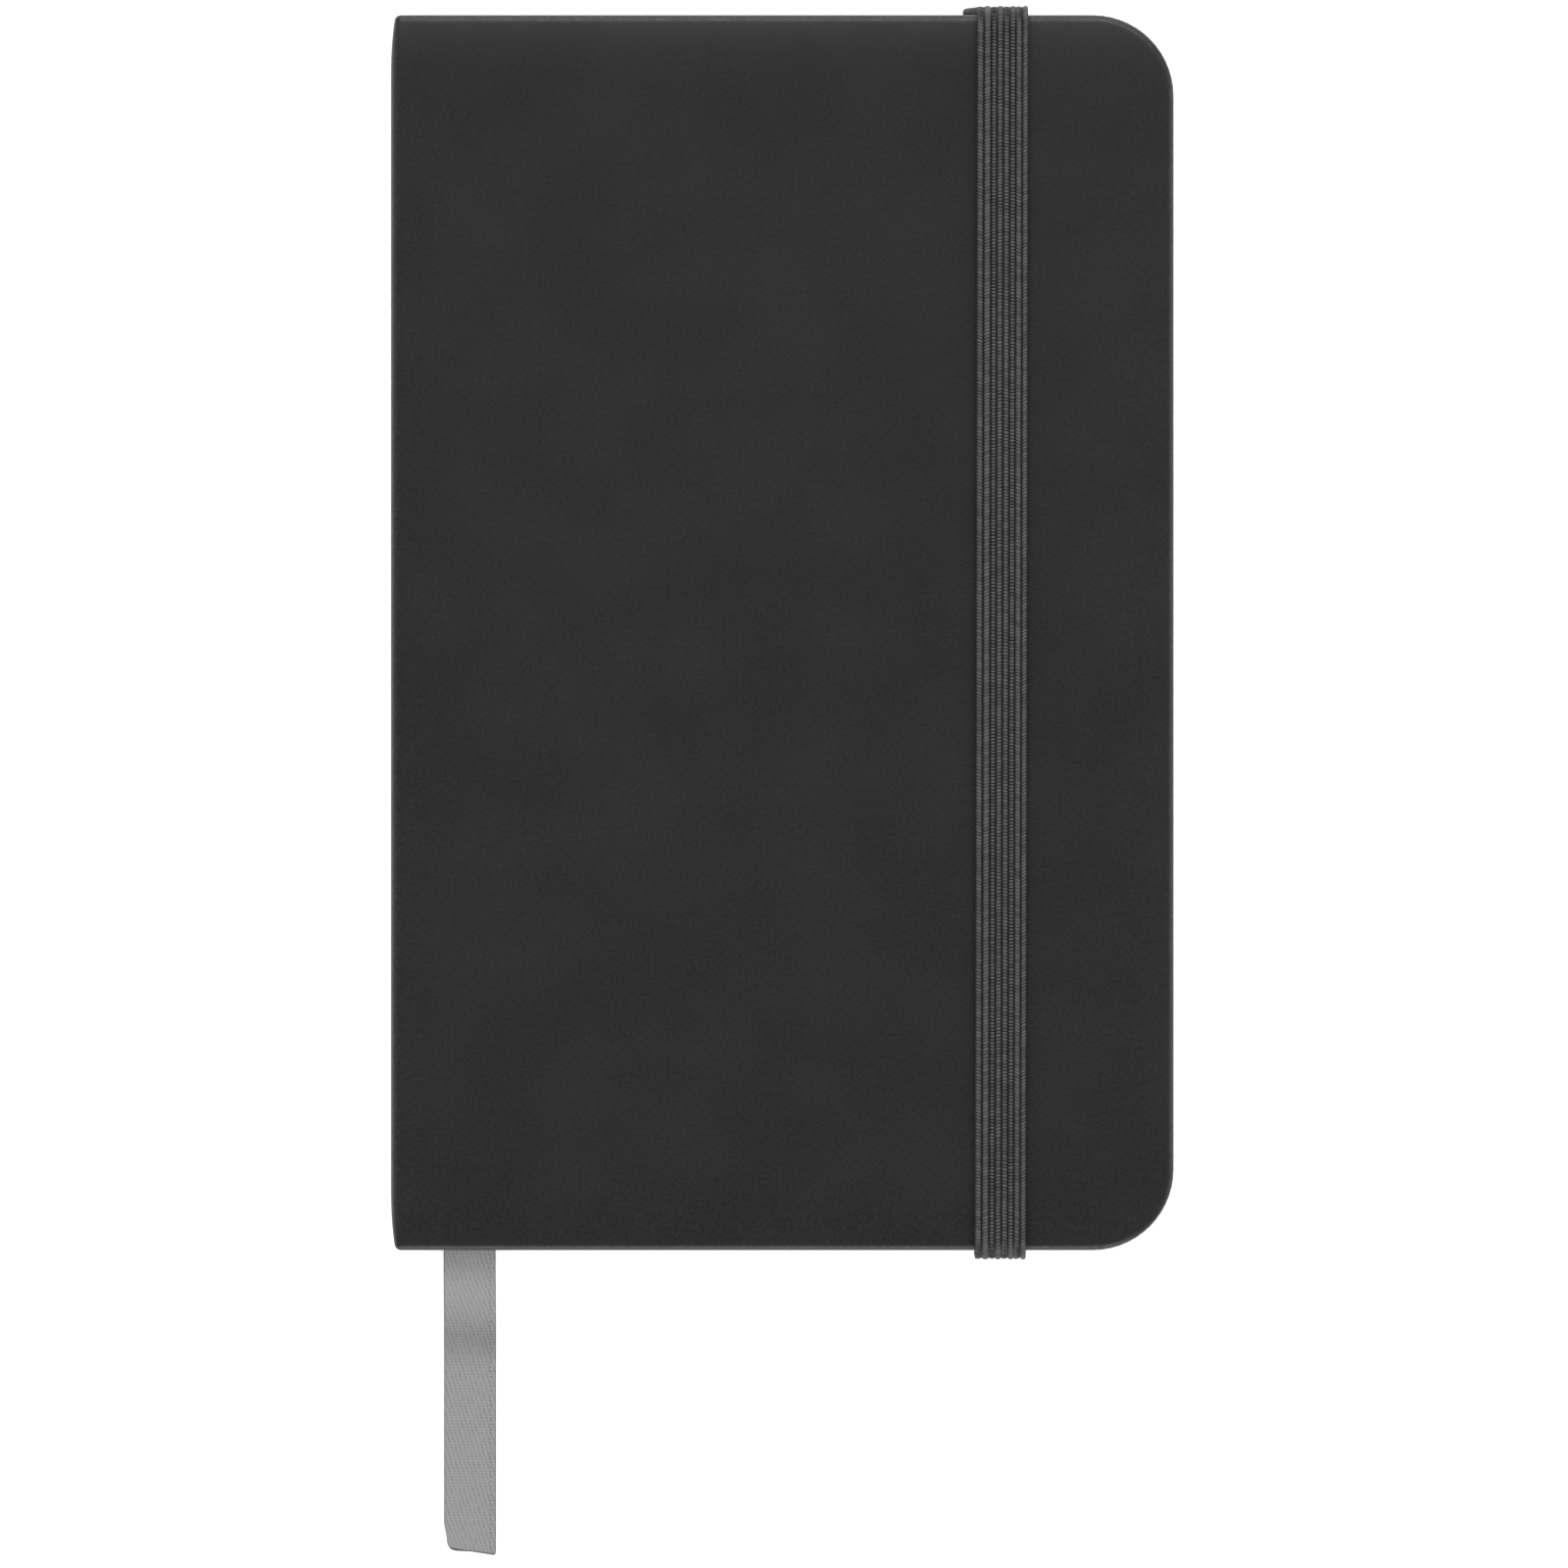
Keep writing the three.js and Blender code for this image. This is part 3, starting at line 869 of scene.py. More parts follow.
@dataclass(frozen=True)
class Case:
    """The closed case: two covers, and the soft skin round the spine, all with the same rolled edge.

    STEPS_IN and INNER_STEPS are millimetres in from the cover's edge, SWELL_STEPS are millimetres down
    the spine, and the turns are degrees round an edge. ALONG, ROUND and DOWN count an outline's
    stretches in its tail or head edge, in a corner and in the fore-edge.
    """

    left: float
    joint: float
    right: float
    half_height: float
    cover: float
    thickness: float
    corner: float = 9.3 * MM
    outer_round: float = 0.62 * MM
    inner_round: float = 0.5 * MM
    crown: float = 0.42 * MM
    crown_run: float = 7 * MM
    crown_power: float = 2.5
    least_bend: float = 0.5 * MM
    spine_corner: float = 1.2 * MM
    joint_skin: float = 1.0 * MM
    spine_skin: float = 1.32 * MM
    skin_swell: float = 0.45 * MM
    furrow: float = 0.05 * MM
    pleat: float = 0.05 * MM
    pleats_a_corner: int = 9
    pleats_from: float = 0.3 * MM
    pleats_rise: float = 0.8 * MM
    pleats_to: float = 5 * MM
    pleats_fade: float = 3 * MM
    end_inset: float = 0.12 * MM
    bend_inset: float = 0.3 * MM
    bend_drop: float = 1.8 * MM

    STEPS_IN: ClassVar[tuple[float, ...]] = (32, 22, 14, 9, 6.6, 5, 3.9, 3, 2.3, 1.7, 1.3, 0.95)
    INNER_STEPS: ClassVar[tuple[float, ...]] = (0.8, 1.2, 1.7, 2.4, 4, 9, 20, 32)
    SWELL_STEPS: ClassVar[tuple[float, ...]] = (0.15, 0.3, 0.45, 0.6)
    EDGE_TURNS: ClassVar[tuple[float, ...]] = (0, 20, 38, 54, 68, 80, 90)
    INNER_TURNS: ClassVar[tuple[float, ...]] = (0, 30, 60, 90)
    ALONG: ClassVar[int] = 12
    ROUND: ClassVar[int] = 14
    DOWN: ClassVar[int] = 18
    JOINT_ROWS: ClassVar[int] = 10
    CORNER_ROWS: ClassVar[int] = 8

    @classmethod
    def measured(cls) -> "Case":
        """Reads the case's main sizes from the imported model.

        Returns:
            The case.
        """
        low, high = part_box("front_cover_wrap")
        spine_low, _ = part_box("spine_wrap")
        return cls(spine_low.x, low.x, high.x, high.y, high.z - low.z, high.z)

    @property
    def middle(self) -> float:
        """The height of the notebook's middle plane."""
        return self.thickness / 2

    def drop(self, distance: float) -> float:
        """How far the outer face lies below its highest plane.

        Args:
            distance: the distance from the cover's edge.

        Returns:
            The depth, which grows in a slow crown and then in a round edge.
        """
        fade = max(1 - (distance - self.outer_round) / self.crown_run, 0)
        crown = self.crown * fade**self.crown_power
        over = max(self.outer_round - distance, 0)
        return crown + self.outer_round - math.sqrt(self.outer_round**2 - over**2)

    def outer_insets(self) -> list[float]:
        """The insets of the outer face's rings, from the middle of the cover to its edge."""
        flat = [step * MM for step in self.STEPS_IN]
        turns = [math.radians(angle) for angle in self.EDGE_TURNS]
        return flat + [self.outer_round * (1 - math.sin(turn)) for turn in turns]

    def inner_rings(self) -> list[tuple[float, float]]:
        """Insets and heights over the inner face, from the edge to the middle of the cover."""
        turns = [math.radians(angle) for angle in self.INNER_TURNS]
        edge = [
            (self.inner_round * (1 - math.cos(turn)), self.inner_round * (1 - math.sin(turn)))
            for turn in turns
        ]
        return edge + [(inset * MM, 0.0) for inset in self.INNER_STEPS]

    def outline(self, inset: float) -> list[tuple[float, float]]:
        """The cover's outline from the tail end of the joint round the fore-edge to its head end.

        Args:
            inset: how far it is pulled in from the cover's edge.

        Returns:
            The points.
        """
        bend = max(self.corner, inset + self.least_bend)
        radius = bend - inset
        stop = self.right - bend
        side = self.half_height - inset
        turn = self.half_height - bend
        along = [self.joint + (stop - self.joint) * i / self.ALONG for i in range(self.ALONG)]
        arc = [math.pi / 2 * i / self.ROUND for i in range(self.ROUND + 1)]
        tail = [(x, -side) for x in along]
        tail += [(stop + radius * math.sin(a), -turn - radius * math.cos(a)) for a in arc]
        edge = [(self.right - inset, -turn + 2 * turn * i / self.DOWN) for i in range(1, self.DOWN)]
        head = [(x, -y) for x, y in reversed(tail)]
        return tail + edge + head

    def lift(self, side: Side, height: float) -> float:
        """A height of the front half, or its mirror image in the back half."""
        return height if side is Side.FRONT else self.thickness - height

    def pleats(self, points: Sequence[tuple[float, float]], inset: float) -> list[float]:
        """The small folds where the turned-in skin goes round the fore-edge corners.

        Args:
            points: the ring's outline.
            inset: how far the ring lies from the edge.

        Returns:
            How deep each point lies in the skin.
        """
        reach = smoothstep((inset - self.pleats_from) / self.pleats_rise)
        reach *= smoothstep((self.pleats_to - inset) / self.pleats_fade)
        depths = []
        for x, y in points:
            across = x - (self.right - self.corner)
            down = abs(y) - (self.half_height - self.corner)
            turn = math.atan2(max(down, 0), max(across, 1e-9)) if across > 0 else math.pi / 2
            inside = across > 0 and down > 0
            fold = 0.5 - 0.5 * math.cos(turn * 4 * self.pleats_a_corner)
            depths.append(self.pleat * reach * fold if inside else 0.0)
        return depths

    def cover_board(self, side: Side) -> bpy.types.Object:
        """Builds one wrapped cover from the joint to the fore-edge.

        Args:
            side: which cover.

        Returns:
            The piece.
        """
        draft = Draft()
        rows = []
        for inset in self.outer_insets():
            height = self.lift(side, self.thickness - self.drop(inset))
            rows.append(draft.row((x, y, height) for x, y in self.outline(inset)))
        floor = self.thickness - self.cover
        for inset, rise in self.inner_rings():
            points = self.outline(inset)
            folds = self.pleats(points, inset)
            heights = [self.lift(side, floor + rise + fold) for fold in folds]
            rows.append(draft.row((x, y, z) for (x, y), z in zip(points, heights)))
        for one, other in zip(rows, rows[1:]):
            draft.bridge(one, other)
        draft.faces.append(tuple(rows[0]))
        draft.faces.append(tuple(reversed(rows[-1])))
        draft.faces.append(tuple([row[0] for row in rows] + [row[-1] for row in reversed(rows)]))
        made = draft.piece(f"{side.value}_cover_skin", SKIN)
        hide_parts(f"{side.value}_cover_wrap")
        return made

    def skin_route(self) -> list[tuple[float, float, float, float, float]]:
        """The front half of the skin's outer line, from the cover round the corner to mid-spine.

        Returns:
            For each place its X and Z, the X and Z of the inward direction, and the skin's thickness.
        """
        flat_to = self.left + self.spine_corner
        route = []
        for i in range(self.JOINT_ROWS + 1):
            x = self.joint + (flat_to - self.joint) * i / self.JOINT_ROWS
            dip = self.furrow * math.sin(math.pi * i / self.JOINT_ROWS) ** 2
            route.append((x, self.thickness - dip, 0.0, -1.0, self.joint_skin - dip))
        centre = self.thickness - self.spine_corner
        for i in range(1, self.CORNER_ROWS + 1):
            turn = math.pi / 2 * i / self.CORNER_ROWS
            x = flat_to - self.spine_corner * math.sin(turn)
            z = centre + self.spine_corner * math.cos(turn)
            route.append((x, z, math.sin(turn), -math.cos(turn), self.joint_skin))
        reach = centre - self.middle
        rows = [step * MM for step in self.SWELL_STEPS] + [reach * i / 10 for i in range(2, 11)]
        for down in rows:
            z = centre - down
            swell = smoothstep((centre - z) / self.skin_swell)
            thick = self.joint_skin + (self.spine_skin - self.joint_skin) * swell
            route.append((self.left, z, 1.0, 0.0, thick))
        return route

    def spine_half(self, side: Side) -> bpy.types.Object:
        """Builds the soft skin from one cover to the middle of the spine.

        Args:
            side: which cover it joins.

        Returns:
            The piece.
        """
        insets = self.outer_insets()
        face = [(inset - self.half_height, self.drop(inset)) for inset in reversed(insets)]
        face += [(self.half_height - inset, self.drop(inset)) for inset in insets]
        loops = []
        for x, z, in_x, in_z, thick in self.skin_route():
            outer = [(x + in_x * deep, y, self.lift(side, z + in_z * deep)) for y, deep in face]
            inner_x, inner_z = x + in_x * thick, self.lift(side, z + in_z * thick)
            end = self.half_height - self.end_inset
            ends = [end, self.half_height / 2, -self.half_height / 2, -end]
            loops.append(outer + [(inner_x, y, inner_z) for y in ends])
        draft = Draft()
        draft.loft(loops)
        made = draft.piece(f"{side.value}_spine_skin", SKIN)
        stands_for = [f"{side.value}_joint_skin"]
        if side is Side.BACK:
            stands_for.append("spine_wrap")
        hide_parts(*stands_for)
        if side is Side.FRONT:
            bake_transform(made)
        else:
            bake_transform(made)
        return made

    def carve(self, cover: bpy.types.Object, room: bpy.types.Object) -> None:
        """Cuts a room out of a cover.

        Args:
            cover: the cover.
            room: the closed shape of the room, which is used up.
        """
        cutter = cover.modifiers.new("room", "BOOLEAN")
        cutter.operation = "DIFFERENCE"
        cutter.solver = "EXACT"
        cutter.object = room
        graph = bpy.context.evaluated_depsgraph_get()
        carved = bpy.data.meshes.new_from_object(cover.evaluated_get(graph), depsgraph=graph)
        cover.modifiers.clear()
        cover.data = carved
        carved.shade_smooth()
        carved.set_sharp_from_angle(angle=math.radians(CREASE))
        bpy.data.objects.remove(room)

    def build(self) -> dict[Side, bpy.types.Object]:
        """Builds both covers and the skin between them.

        Returns:
            The covers.
        """
        covers = {}
        for side in Side:
            covers[side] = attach(self.cover_board(side), f"{side.value}_cover")
            self.spine_half(side)
            BOARD.dress(f"{side.value}_board")
            ENDPAPER.dress(f"{side.value}_pastedown")
        BOARD.dress("spine_card")
        return covers


# ----------------------------------------------------------------------
# Leaves


@dataclass(frozen=True)
class Leaves:
    """The sewn sections: folded sheets one in the other, and the sheet at the middle opening."""

    sheets: int = 8
    air: float = 0.009 * MM
    page_corner: float = 7 * MM
    trim_spread: float = 0.07 * MM
    seed: int = 41
    middle_leaf: float = 0.05 * MM
    middle_gap: float = 0.02 * MM
    middle_reach: float = 0.55 * MM
    middle_trim: tuple[float, float] = (0.04 * MM, 0.03 * MM)
    gutter_half: float = 0.1 * MM

    SECTIONS: ClassVar[int] = 6
    CREASE: ClassVar[float] = 30.0
    FOLD_STEPS: ClassVar[int] = 8
    CORNER_STEPS: ClassVar[int] = 8
    LEAF_SHARES: ClassVar[tuple[float, ...]] = (0.7, 0.4, 0.15)

    def page_half(self, x: float, fore: float, half: float) -> float:
        """Half the page's height at a distance from the spine.

        Args:
            x: the place across the page.
            fore: the page's fore-edge.
            half: half the page's full height.

        Returns:
            The half height, less in the round corners.
        """
        into = x - (fore - self.page_corner)
        if into <= 0:
            return half
        return half - self.page_corner + math.sqrt(max(self.page_corner**2 - into**2, 0))

    def folded_sheet(
        self, draft: Draft, fold: Point, inner: float, outer: float, fore: float, half: float
    ) -> None:
        """Adds one folded sheet, as two leaves and the round fold between them.

        Args:
            draft: the mesh that it joins.
            fold: the centre of the fold's arc.
            inner: the distance of its inner face from the fold's middle plane.
            outer: the distance of its outer face.
            fore: its fore-edge.
            half: half its height.
        """
        turns = [math.pi / 2 * i / self.CORNER_STEPS for i in range(self.CORNER_STEPS, -1, -1)]
        corner = [fore - self.page_corner * (1 - math.sin(turn)) for turn in turns]
        leaf = corner + [fold[0] + (corner[-1] - fold[0]) * share for share in self.LEAF_SHARES]
        loops = []
        for x in leaf:
            reach = self.page_half(x, fore, half)
            loops.append(self.rim(x, fold[2] + inner, x, fold[2] + outer, reach))
        for i in range(self.FOLD_STEPS + 1):
            turn = math.pi * i / self.FOLD_STEPS
            out_x, out_z = -math.sin(turn), math.cos(turn)
            near = (fold[0] + inner * out_x, fold[2] + inner * out_z)
            far = (fold[0] + outer * out_x, fold[2] + outer * out_z)
            loops.append(self.rim(*near, *far, half))
        for x in reversed(leaf):
            reach = self.page_half(x, fore, half)
            loops.append(self.rim(x, fold[2] - inner, x, fold[2] - outer, reach))
        draft.loft(loops)

    def rim(self, near_x: float, near_z: float, far_x: float, far_z: float, half: float) -> list[Point]:
        """The cut through a sheet at one place: its inner and its outer face from tail to head."""
        near = [(near_x, -half, near_z), (near_x, half, near_z)]
        return near + [(far_x, half, far_z), (far_x, -half, far_z)]

    def section(self, number: int, body: str) -> None:
        """Builds one section.

        Args:
            number: its number from the front.
            body: the body that it rides on.
        """
        low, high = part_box(f"section_{number}")
        spread = np.random.default_rng(self.seed + number)
        reach = (high.z - low.z) / 2
        fold = (low.x + reach, 0.0, (low.z + high.z) / 2)
        step = reach / self.sheets
        draft = Draft()
        for i in range(self.sheets):
            fore = high.x - self.trim_spread * spread.random()
            half = high.y - self.trim_spread * spread.random()
            inner = max(i * step + self.air / 2, self.air)
            self.folded_sheet(draft, fold, inner, (i + 1) * step - self.air / 2, fore, half)
        made = draft.piece(f"section_{number}_sheets", RULED, self.CREASE)
        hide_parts(f"section_{number}")
        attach(made, body)

    def middle_sheet(self) -> None:
        """Builds the sheet at the middle opening."""
        low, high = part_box("section_4")
        above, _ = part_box("section_3")
        middle = (high.z + above.z) / 2
        outer = (above.z - high.z) / 2 - self.middle_gap
        spine_side = low.x - self.middle_reach
        fold = (spine_side + outer, 0.0, middle)
        draft = Draft()
        fore, half = high.x - self.middle_trim[0], high.y - self.middle_trim[1]
        self.folded_sheet(draft, fold, outer - self.middle_leaf, outer, fore, half)
        made = draft.piece("middle_sheet", RULED, self.CREASE)
        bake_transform(made)

    def build(self) -> None:
        """Builds the sections and dresses what holds them together."""
        for number in range(1, self.SECTIONS + 1):
            self.section(number, "front_pages" if number <= self.SECTIONS // 2 else "back_pages")
        self.middle_sheet()
        for side in Side:
            ENDPAPER.dress(f"{side.value}_flyleaf")
            CLOTH.dress(f"{side.value}_spine_lining")
            THREAD.dress(f"{side.value}_sewing_thread_1", f"{side.value}_sewing_thread_2")


# ----------------------------------------------------------------------
# Woven strips


class Strip:
    """A woven strip: loops of points along a line, with each point's place in the cloth."""

    LAY: ClassVar[str] = "lay"

    def __init__(self) -> None:
        """Starts with no loops."""
        self.loops: list[np.ndarray] = []
        self.lays: list[np.ndarray] = []

    def add(self, loop: np.ndarray, lay: np.ndarray) -> None:
        """Adds the next loop.

        Args:
            loop: its points.
            lay: each point's place across the cloth, along it, and a third value for its finish.
        """
        self.loops.append(loop)
        self.lays.append(lay)

    def piece(self, name: str, finish: Finish, crease: float = 60.0) -> bpy.types.Object:
        """Makes the Blender object.

        Args:
            name: the piece's name.
            finish: what it is dressed in.
            crease: the angle in degrees from which an edge is sharp.

        Returns:
            The object.
        """
        draft = Draft()
        draft.loft([loop.tolist() for loop in self.loops])
        made = draft.piece(name, finish, crease)
        attribute = made.data.attributes.new(self.LAY, "FLOAT_VECTOR", "POINT")
        attribute.data.foreach_set("vector", np.concatenate(self.lays).astype(np.float32).ravel())
        return made


@dataclass(frozen=True)
class Rib:
    """One rib of the elastic. Its centre and half width are millimetres across the strip.

    The lean and the phase are in stitches, and the bead is the depth between two stitches.
    """

    centre: float
    half: float
    lean: float
    phase: float
    bead: float


@dataclass(frozen=True)
class ElasticBand:
    """The woven elastic: the run over the front cover, both edge runs and both fixed ends.

    A wobble is a size in stitches, a length along the band and a start. The INNER rows are the inner
    face's places across, their shares of the half thickness and their painted light, kept low so that
    the inner face is painted in shade.
    """

    centre: float
    line_low: float
    line_high: float
    reach: float
    slot: float
    foot_shift: float
    thickness: float = 0.9 * MM
    bend: float = 0.6 * MM
    stitch: float = 0.375 * MM
    steps_a_stitch: int = 4
    pile: float = 0.3 * MM
    tilt: float = 0.002
    let_go: float = 0.012
    slow_drift: float = 0.12
    slow_run: float = 5.1 * MM
    rib_turn: float = 1.7
    rib_power: float = 2.4
    bead_power: float = 0.8
    loose_drop: float = 0.1
    loose_shade: float = 0.2
    lobe: float = 1.5
    lobe_start: float = 0.5
    lobe_power: float = 0.6
    lobe_floor: float = 0.1
    gathered: float = 0.6
    fixed_end: float = 9.5 * MM
    bunch_at: float = 0.3 * MM
    bunch_reach: float = 1.0 * MM
    bunch_swell: float = 0.1 * MM
    inner_inset: float = 0.12 * MM
    channel_gap: float = 0.12 * MM
    channel_end: float = 0.55 * MM
    channel_over: float = 3 * MM

    RIBS: ClassVar[tuple[Rib, ...]] = (
        Rib(-2.56, 0.38, 0.34, 0.10, 0.62),
        Rib(-1.74, 0.40, -0.34, 0.55, 0.52),
        Rib(-0.98, 0.29, 0.04, 0.30, 0.82),
        Rib(-0.29, 0.34, -0.14, 0.80, 0.66),
        Rib(0.45, 0.33, 0.12, 0.15, 0.66),
        Rib(1.17, 0.31, 0.04, 0.65, 0.82),
        Rib(1.88, 0.36, 0.34, 0.40, 0.55),
        Rib(2.60, 0.33, -0.46, 0.90, 0.64),
    )
    WOBBLES: ClassVar[tuple[tuple[float, ...], ...]] = ((0.16, 2.3 * MM, 0.0), (0.1, 0.9 * MM, 1.3))
    SHUFFLE: ClassVar[tuple[float, ...]] = (12.9898, 78.233, 43758.5453)
    ACROSS: ClassVar[tuple[float, ...]] = (-1.0, -0.78, -0.4, 0.0, 0.4, 0.78)
    INNER_ACROSS: ClassVar[tuple[float, ...]] = (1.0, 0.72, 0.24, -0.24, -0.72, -1.0)
    INNER_ROUND: ClassVar[tuple[float, ...]] = (0.55, 1.0, 1.0, 1.0, 1.0, 0.55)
    # painted light of the inner face: low, so that it is painted in shade
    INNER_PAINTED_LIGHT: ClassVar[tuple[float, ...]] = (0.1, 0.45, 0.45, 0.45, 0.45, 0.1)

    @classmethod
    def measured(cls) -> "ElasticBand":
        """Reads the band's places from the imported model.

        Returns:
            The band.
        """
        low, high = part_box("elastic_band")
        anchor_low, anchor_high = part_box("elastic_head_anchor")
        centre = (low.x + high.x) / 2
        half = cls.thickness / 2
        tail_low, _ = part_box("elastic_tail_anchor")
        return cls(
            centre=centre,
            line_low=anchor_low.z + half,
            line_high=high.z - half,
            reach=high.y - half,
            slot=-tail_low.y - cls.fixed_end,
            foot_shift=(anchor_low.x + anchor_high.x) / 2 - centre,
        )

    def lengths(self) -> list[float]:
        """The lengths of the half loop's stretches, from the run's middle to the slot."""
        quarter = math.pi / 2 * self.bend
        down = self.line_high - self.line_low - 2 * self.bend
        return [self.reach - self.bend, quarter, down, quarter, self.reach - self.bend - self.slot]

    def place(self, run: float) -> tuple[float, float, float, float]:
        """A place on the half loop's middle line.

        Args:
            run: the distance from the middle of the run over the front cover, towards the slot.

        Returns:
            Its Y and Z at the head end, and the Y and Z of the outward direction.
        """
        flat, quarter, down, _, _ = self.lengths()
        if run <= flat:
            return run, self.line_high, 0.0, 1.0
        run -= flat
        if run <= quarter:
            turn = run / self.bend
            y = self.reach - self.bend + self.bend * math.sin(turn)
            z = self.line_high - self.bend + self.bend * math.cos(turn)
            return y, z, math.sin(turn), math.cos(turn)
        run -= quarter
        if run <= down:
            return self.reach, self.line_high - self.bend - run, 1.0, 0.0
        run -= down
        if run <= quarter:
            turn = run / self.bend
            y = self.reach - self.bend + self.bend * math.cos(turn)
            z = self.line_low + self.bend - self.bend * math.sin(turn)
            return y, z, math.cos(turn), -math.sin(turn)
        return self.reach - self.bend - (run - quarter), self.line_low, 0.0, -1.0

    def sideways(self, run: float, end: End) -> float:
        """How far the band's middle stands aside at a place on the half loop."""
        flat, quarter, down, _, _ = self.lengths()
        slope = self.tilt * min(run, flat) * end.value
        if end is End.TAIL:
            return slope
        return slope + self.foot_shift * smoothstep((run - flat - quarter) / down)

    def chance(self, stitch: int, rib: int) -> float:
        """A fixed share from 0 to 1 that looks random from stitch to stitch."""
        by_stitch, by_rib, spread = self.SHUFFLE
        return math.modf(abs(math.sin(stitch * by_stitch + rib * by_rib)) * spread)[0]

    def drift(self, along: float, number: int) -> float:
        """How far a rib's stitches run ahead of an even beat.

        Args:
            along: the distance along the band.
            number: the rib's number.

        Returns:
            A part of a stitch, which wanders along the band and differs from rib to rib.
        """
        wobble = sum(size * math.sin(along / run + start) for size, run, start in self.WOBBLES)
        slow = self.slow_drift * math.sin(along / self.slow_run + number)
        return wobble * math.sin(self.rib_turn * number) + slow

    def profile(self, along: float, gather: float) -> tuple[np.ndarray, np.ndarray, np.ndarray]:
        """The outer face's height across the band at one place.

        Args:
            along: the distance along the band.
            gather: from 0, flat, to 1, where the ribs bunch as the band turns over an edge.

        Returns:
            The places across, and for each the share of the full pile and how much painted light it
            keeps, less on loose stitches, which sink and are painted in shade.
        """
        across, heights, lit_shares = [], [], []
        for number, rib in enumerate(self.RIBS):
            drift = self.drift(along, number)
            for share in self.ACROSS:
                turn = along / self.stitch + rib.phase + rib.lean * share + drift
                beat = abs(math.sin(math.pi * turn))
                loose = self.chance(math.floor(turn), number)
                round_off = math.sqrt(max(1 - abs(share) ** self.rib_power, 0))
                rise = round_off * (1 - rib.bead * (1 - beat**self.bead_power))
                rise *= 1 - self.loose_drop * loose
                place = rib.centre + share * rib.half
                lobe = abs(math.cos(math.pi * place / self.lobe + self.lobe_start)) ** self.lobe_power
                bunched = self.lobe_floor + (1 - self.lobe_floor) * lobe
                across.append(place * MM)
                heights.append(rise + self.gathered * gather * (bunched - rise))
                # loose stitches sink and get painted shade
                lit_shares.append(1 - self.loose_shade * loose)
        last = self.RIBS[-1]
        across.append((last.centre + last.half) * MM)
        heights.append(0.0)
        lit_shares.append(1.0)
        return np.array(across), np.array(heights), np.array(lit_shares)

    def cut(self, run: float, end: End) -> tuple[np.ndarray, np.ndarray]:
        """One loop of points round the band.

        Args:
            run: the distance from the middle of the front run.
            end: the end that it lies towards.

        Returns:
            The loop's points and their places in the cloth.
        """
        y, z, out_y, out_z = self.place(run)
        flat = self.lengths()[0]
        bunch = math.exp(-(((run - flat - self.bunch_at) / self.bunch_reach) ** 2))
        along = run * end.value
        across, heights, lit_shares = self.profile(along, bunch)
        half = self.thickness / 2
        outer = half - self.pile + self.pile * heights + self.bunch_swell * bunch * heights
        inner_across = np.array(self.INNER_ACROSS) * (abs(across[0]) - self.inner_inset)
        offsets = np.concatenate([outer, -half * np.array(self.INNER_ROUND)])
        places = np.concatenate([across, inner_across])
        x = self.centre + self.sideways(run, end) + places
        points = np.stack([x, (y + out_y * offsets) * end.value, z + out_z * offsets], axis=1)
        # the third value paints light: the outer face's pile gives a painted highlight on the crowns,
        # and the inner face's low values paint it in shade
        pile = np.concatenate([heights * lit_shares, self.INNER_PAINTED_LIGHT])
        return points, np.stack([places, np.full(len(places), along), pile], axis=1)

    def strip(self, name: str, stops: Sequence[tuple[float, End]], replaced: str) -> bpy.types.Object:
        """Builds a stretch of the band.

        Args:
            name: the piece's name.
            stops: the loops, each with its distance along its half.
            replaced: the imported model's node that it stands for.

        Returns:
            The piece.
        """
        strip = Strip()
        for run, end in stops:
            strip.add(*self.cut(run, end))
        made = strip.piece(name, ELASTIC)
        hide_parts(replaced)
        return made

    def stations(self, start: float, stop: float) -> list[float]:
        """Evenly spaced distances from one to another, a few to each stitch."""
        count = max(round(abs(stop - start) / self.stitch * self.steps_a_stitch), 2)
        return [start + (stop - start) * i / count for i in range(count + 1)]

    def room(self, end: End) -> bpy.types.Object:
        """The shallow channel in the back cover for one end of the band.

        Args:
            end: which end.

        Returns:
            A closed shape that reaches out past the cover.
        """
        low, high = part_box(f"elastic_{end.name.lower()}_anchor")
        top = self.line_low + self.thickness / 2 + self.channel_gap
        near = (self.slot - self.channel_end) * end.value
        far = (self.reach + self.channel_over) * end.value
        sides = (low.x - self.channel_gap, high.x + self.channel_gap)
        draft = Draft()
        draft.loft([[(x, near, -MM), (x, far, -MM), (x, far, top), (x, near, top)] for x in sides])
        return draft.piece(f"room_{end.name.lower()}", SKIN)

    def build(self, case: Case, covers: dict[Side, bpy.types.Object]) -> None:
        """Builds the band's pieces and the channels that its fixed ends lie in.

        Args:
            case: the case.
            covers: its covers.
        """
        flat, quarter, down, _, _ = self.lengths()
        turned = flat + quarter
        foot = turned + down
        finish = sum(self.lengths())
        over = self.stations(turned, 0.0)
        stops = [(run, End.TAIL) for run in over] + [(run, End.HEAD) for run in reversed(over[:-1])]
        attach(self.strip("elastic_front_run", stops, "elastic_band"), "elastic")
        for end in End:
            name = end.name.lower()
            stops = [(run, end) for run in self.stations(turned, foot)]
            side = self.strip(f"elastic_{name}_edge_run", stops, f"elastic_{name}_side")
            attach(side, "elastic")
            y, z, _, _ = self.place(turned)
            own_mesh(side)
            stops = [(run, end) for run in self.stations(foot, finish)]
            fixed = self.strip(f"elastic_{name}_fixed_end", stops, f"elastic_{name}_anchor")
            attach(fixed, "back_cover")
            case.carve(covers[Side.BACK], self.room(end))


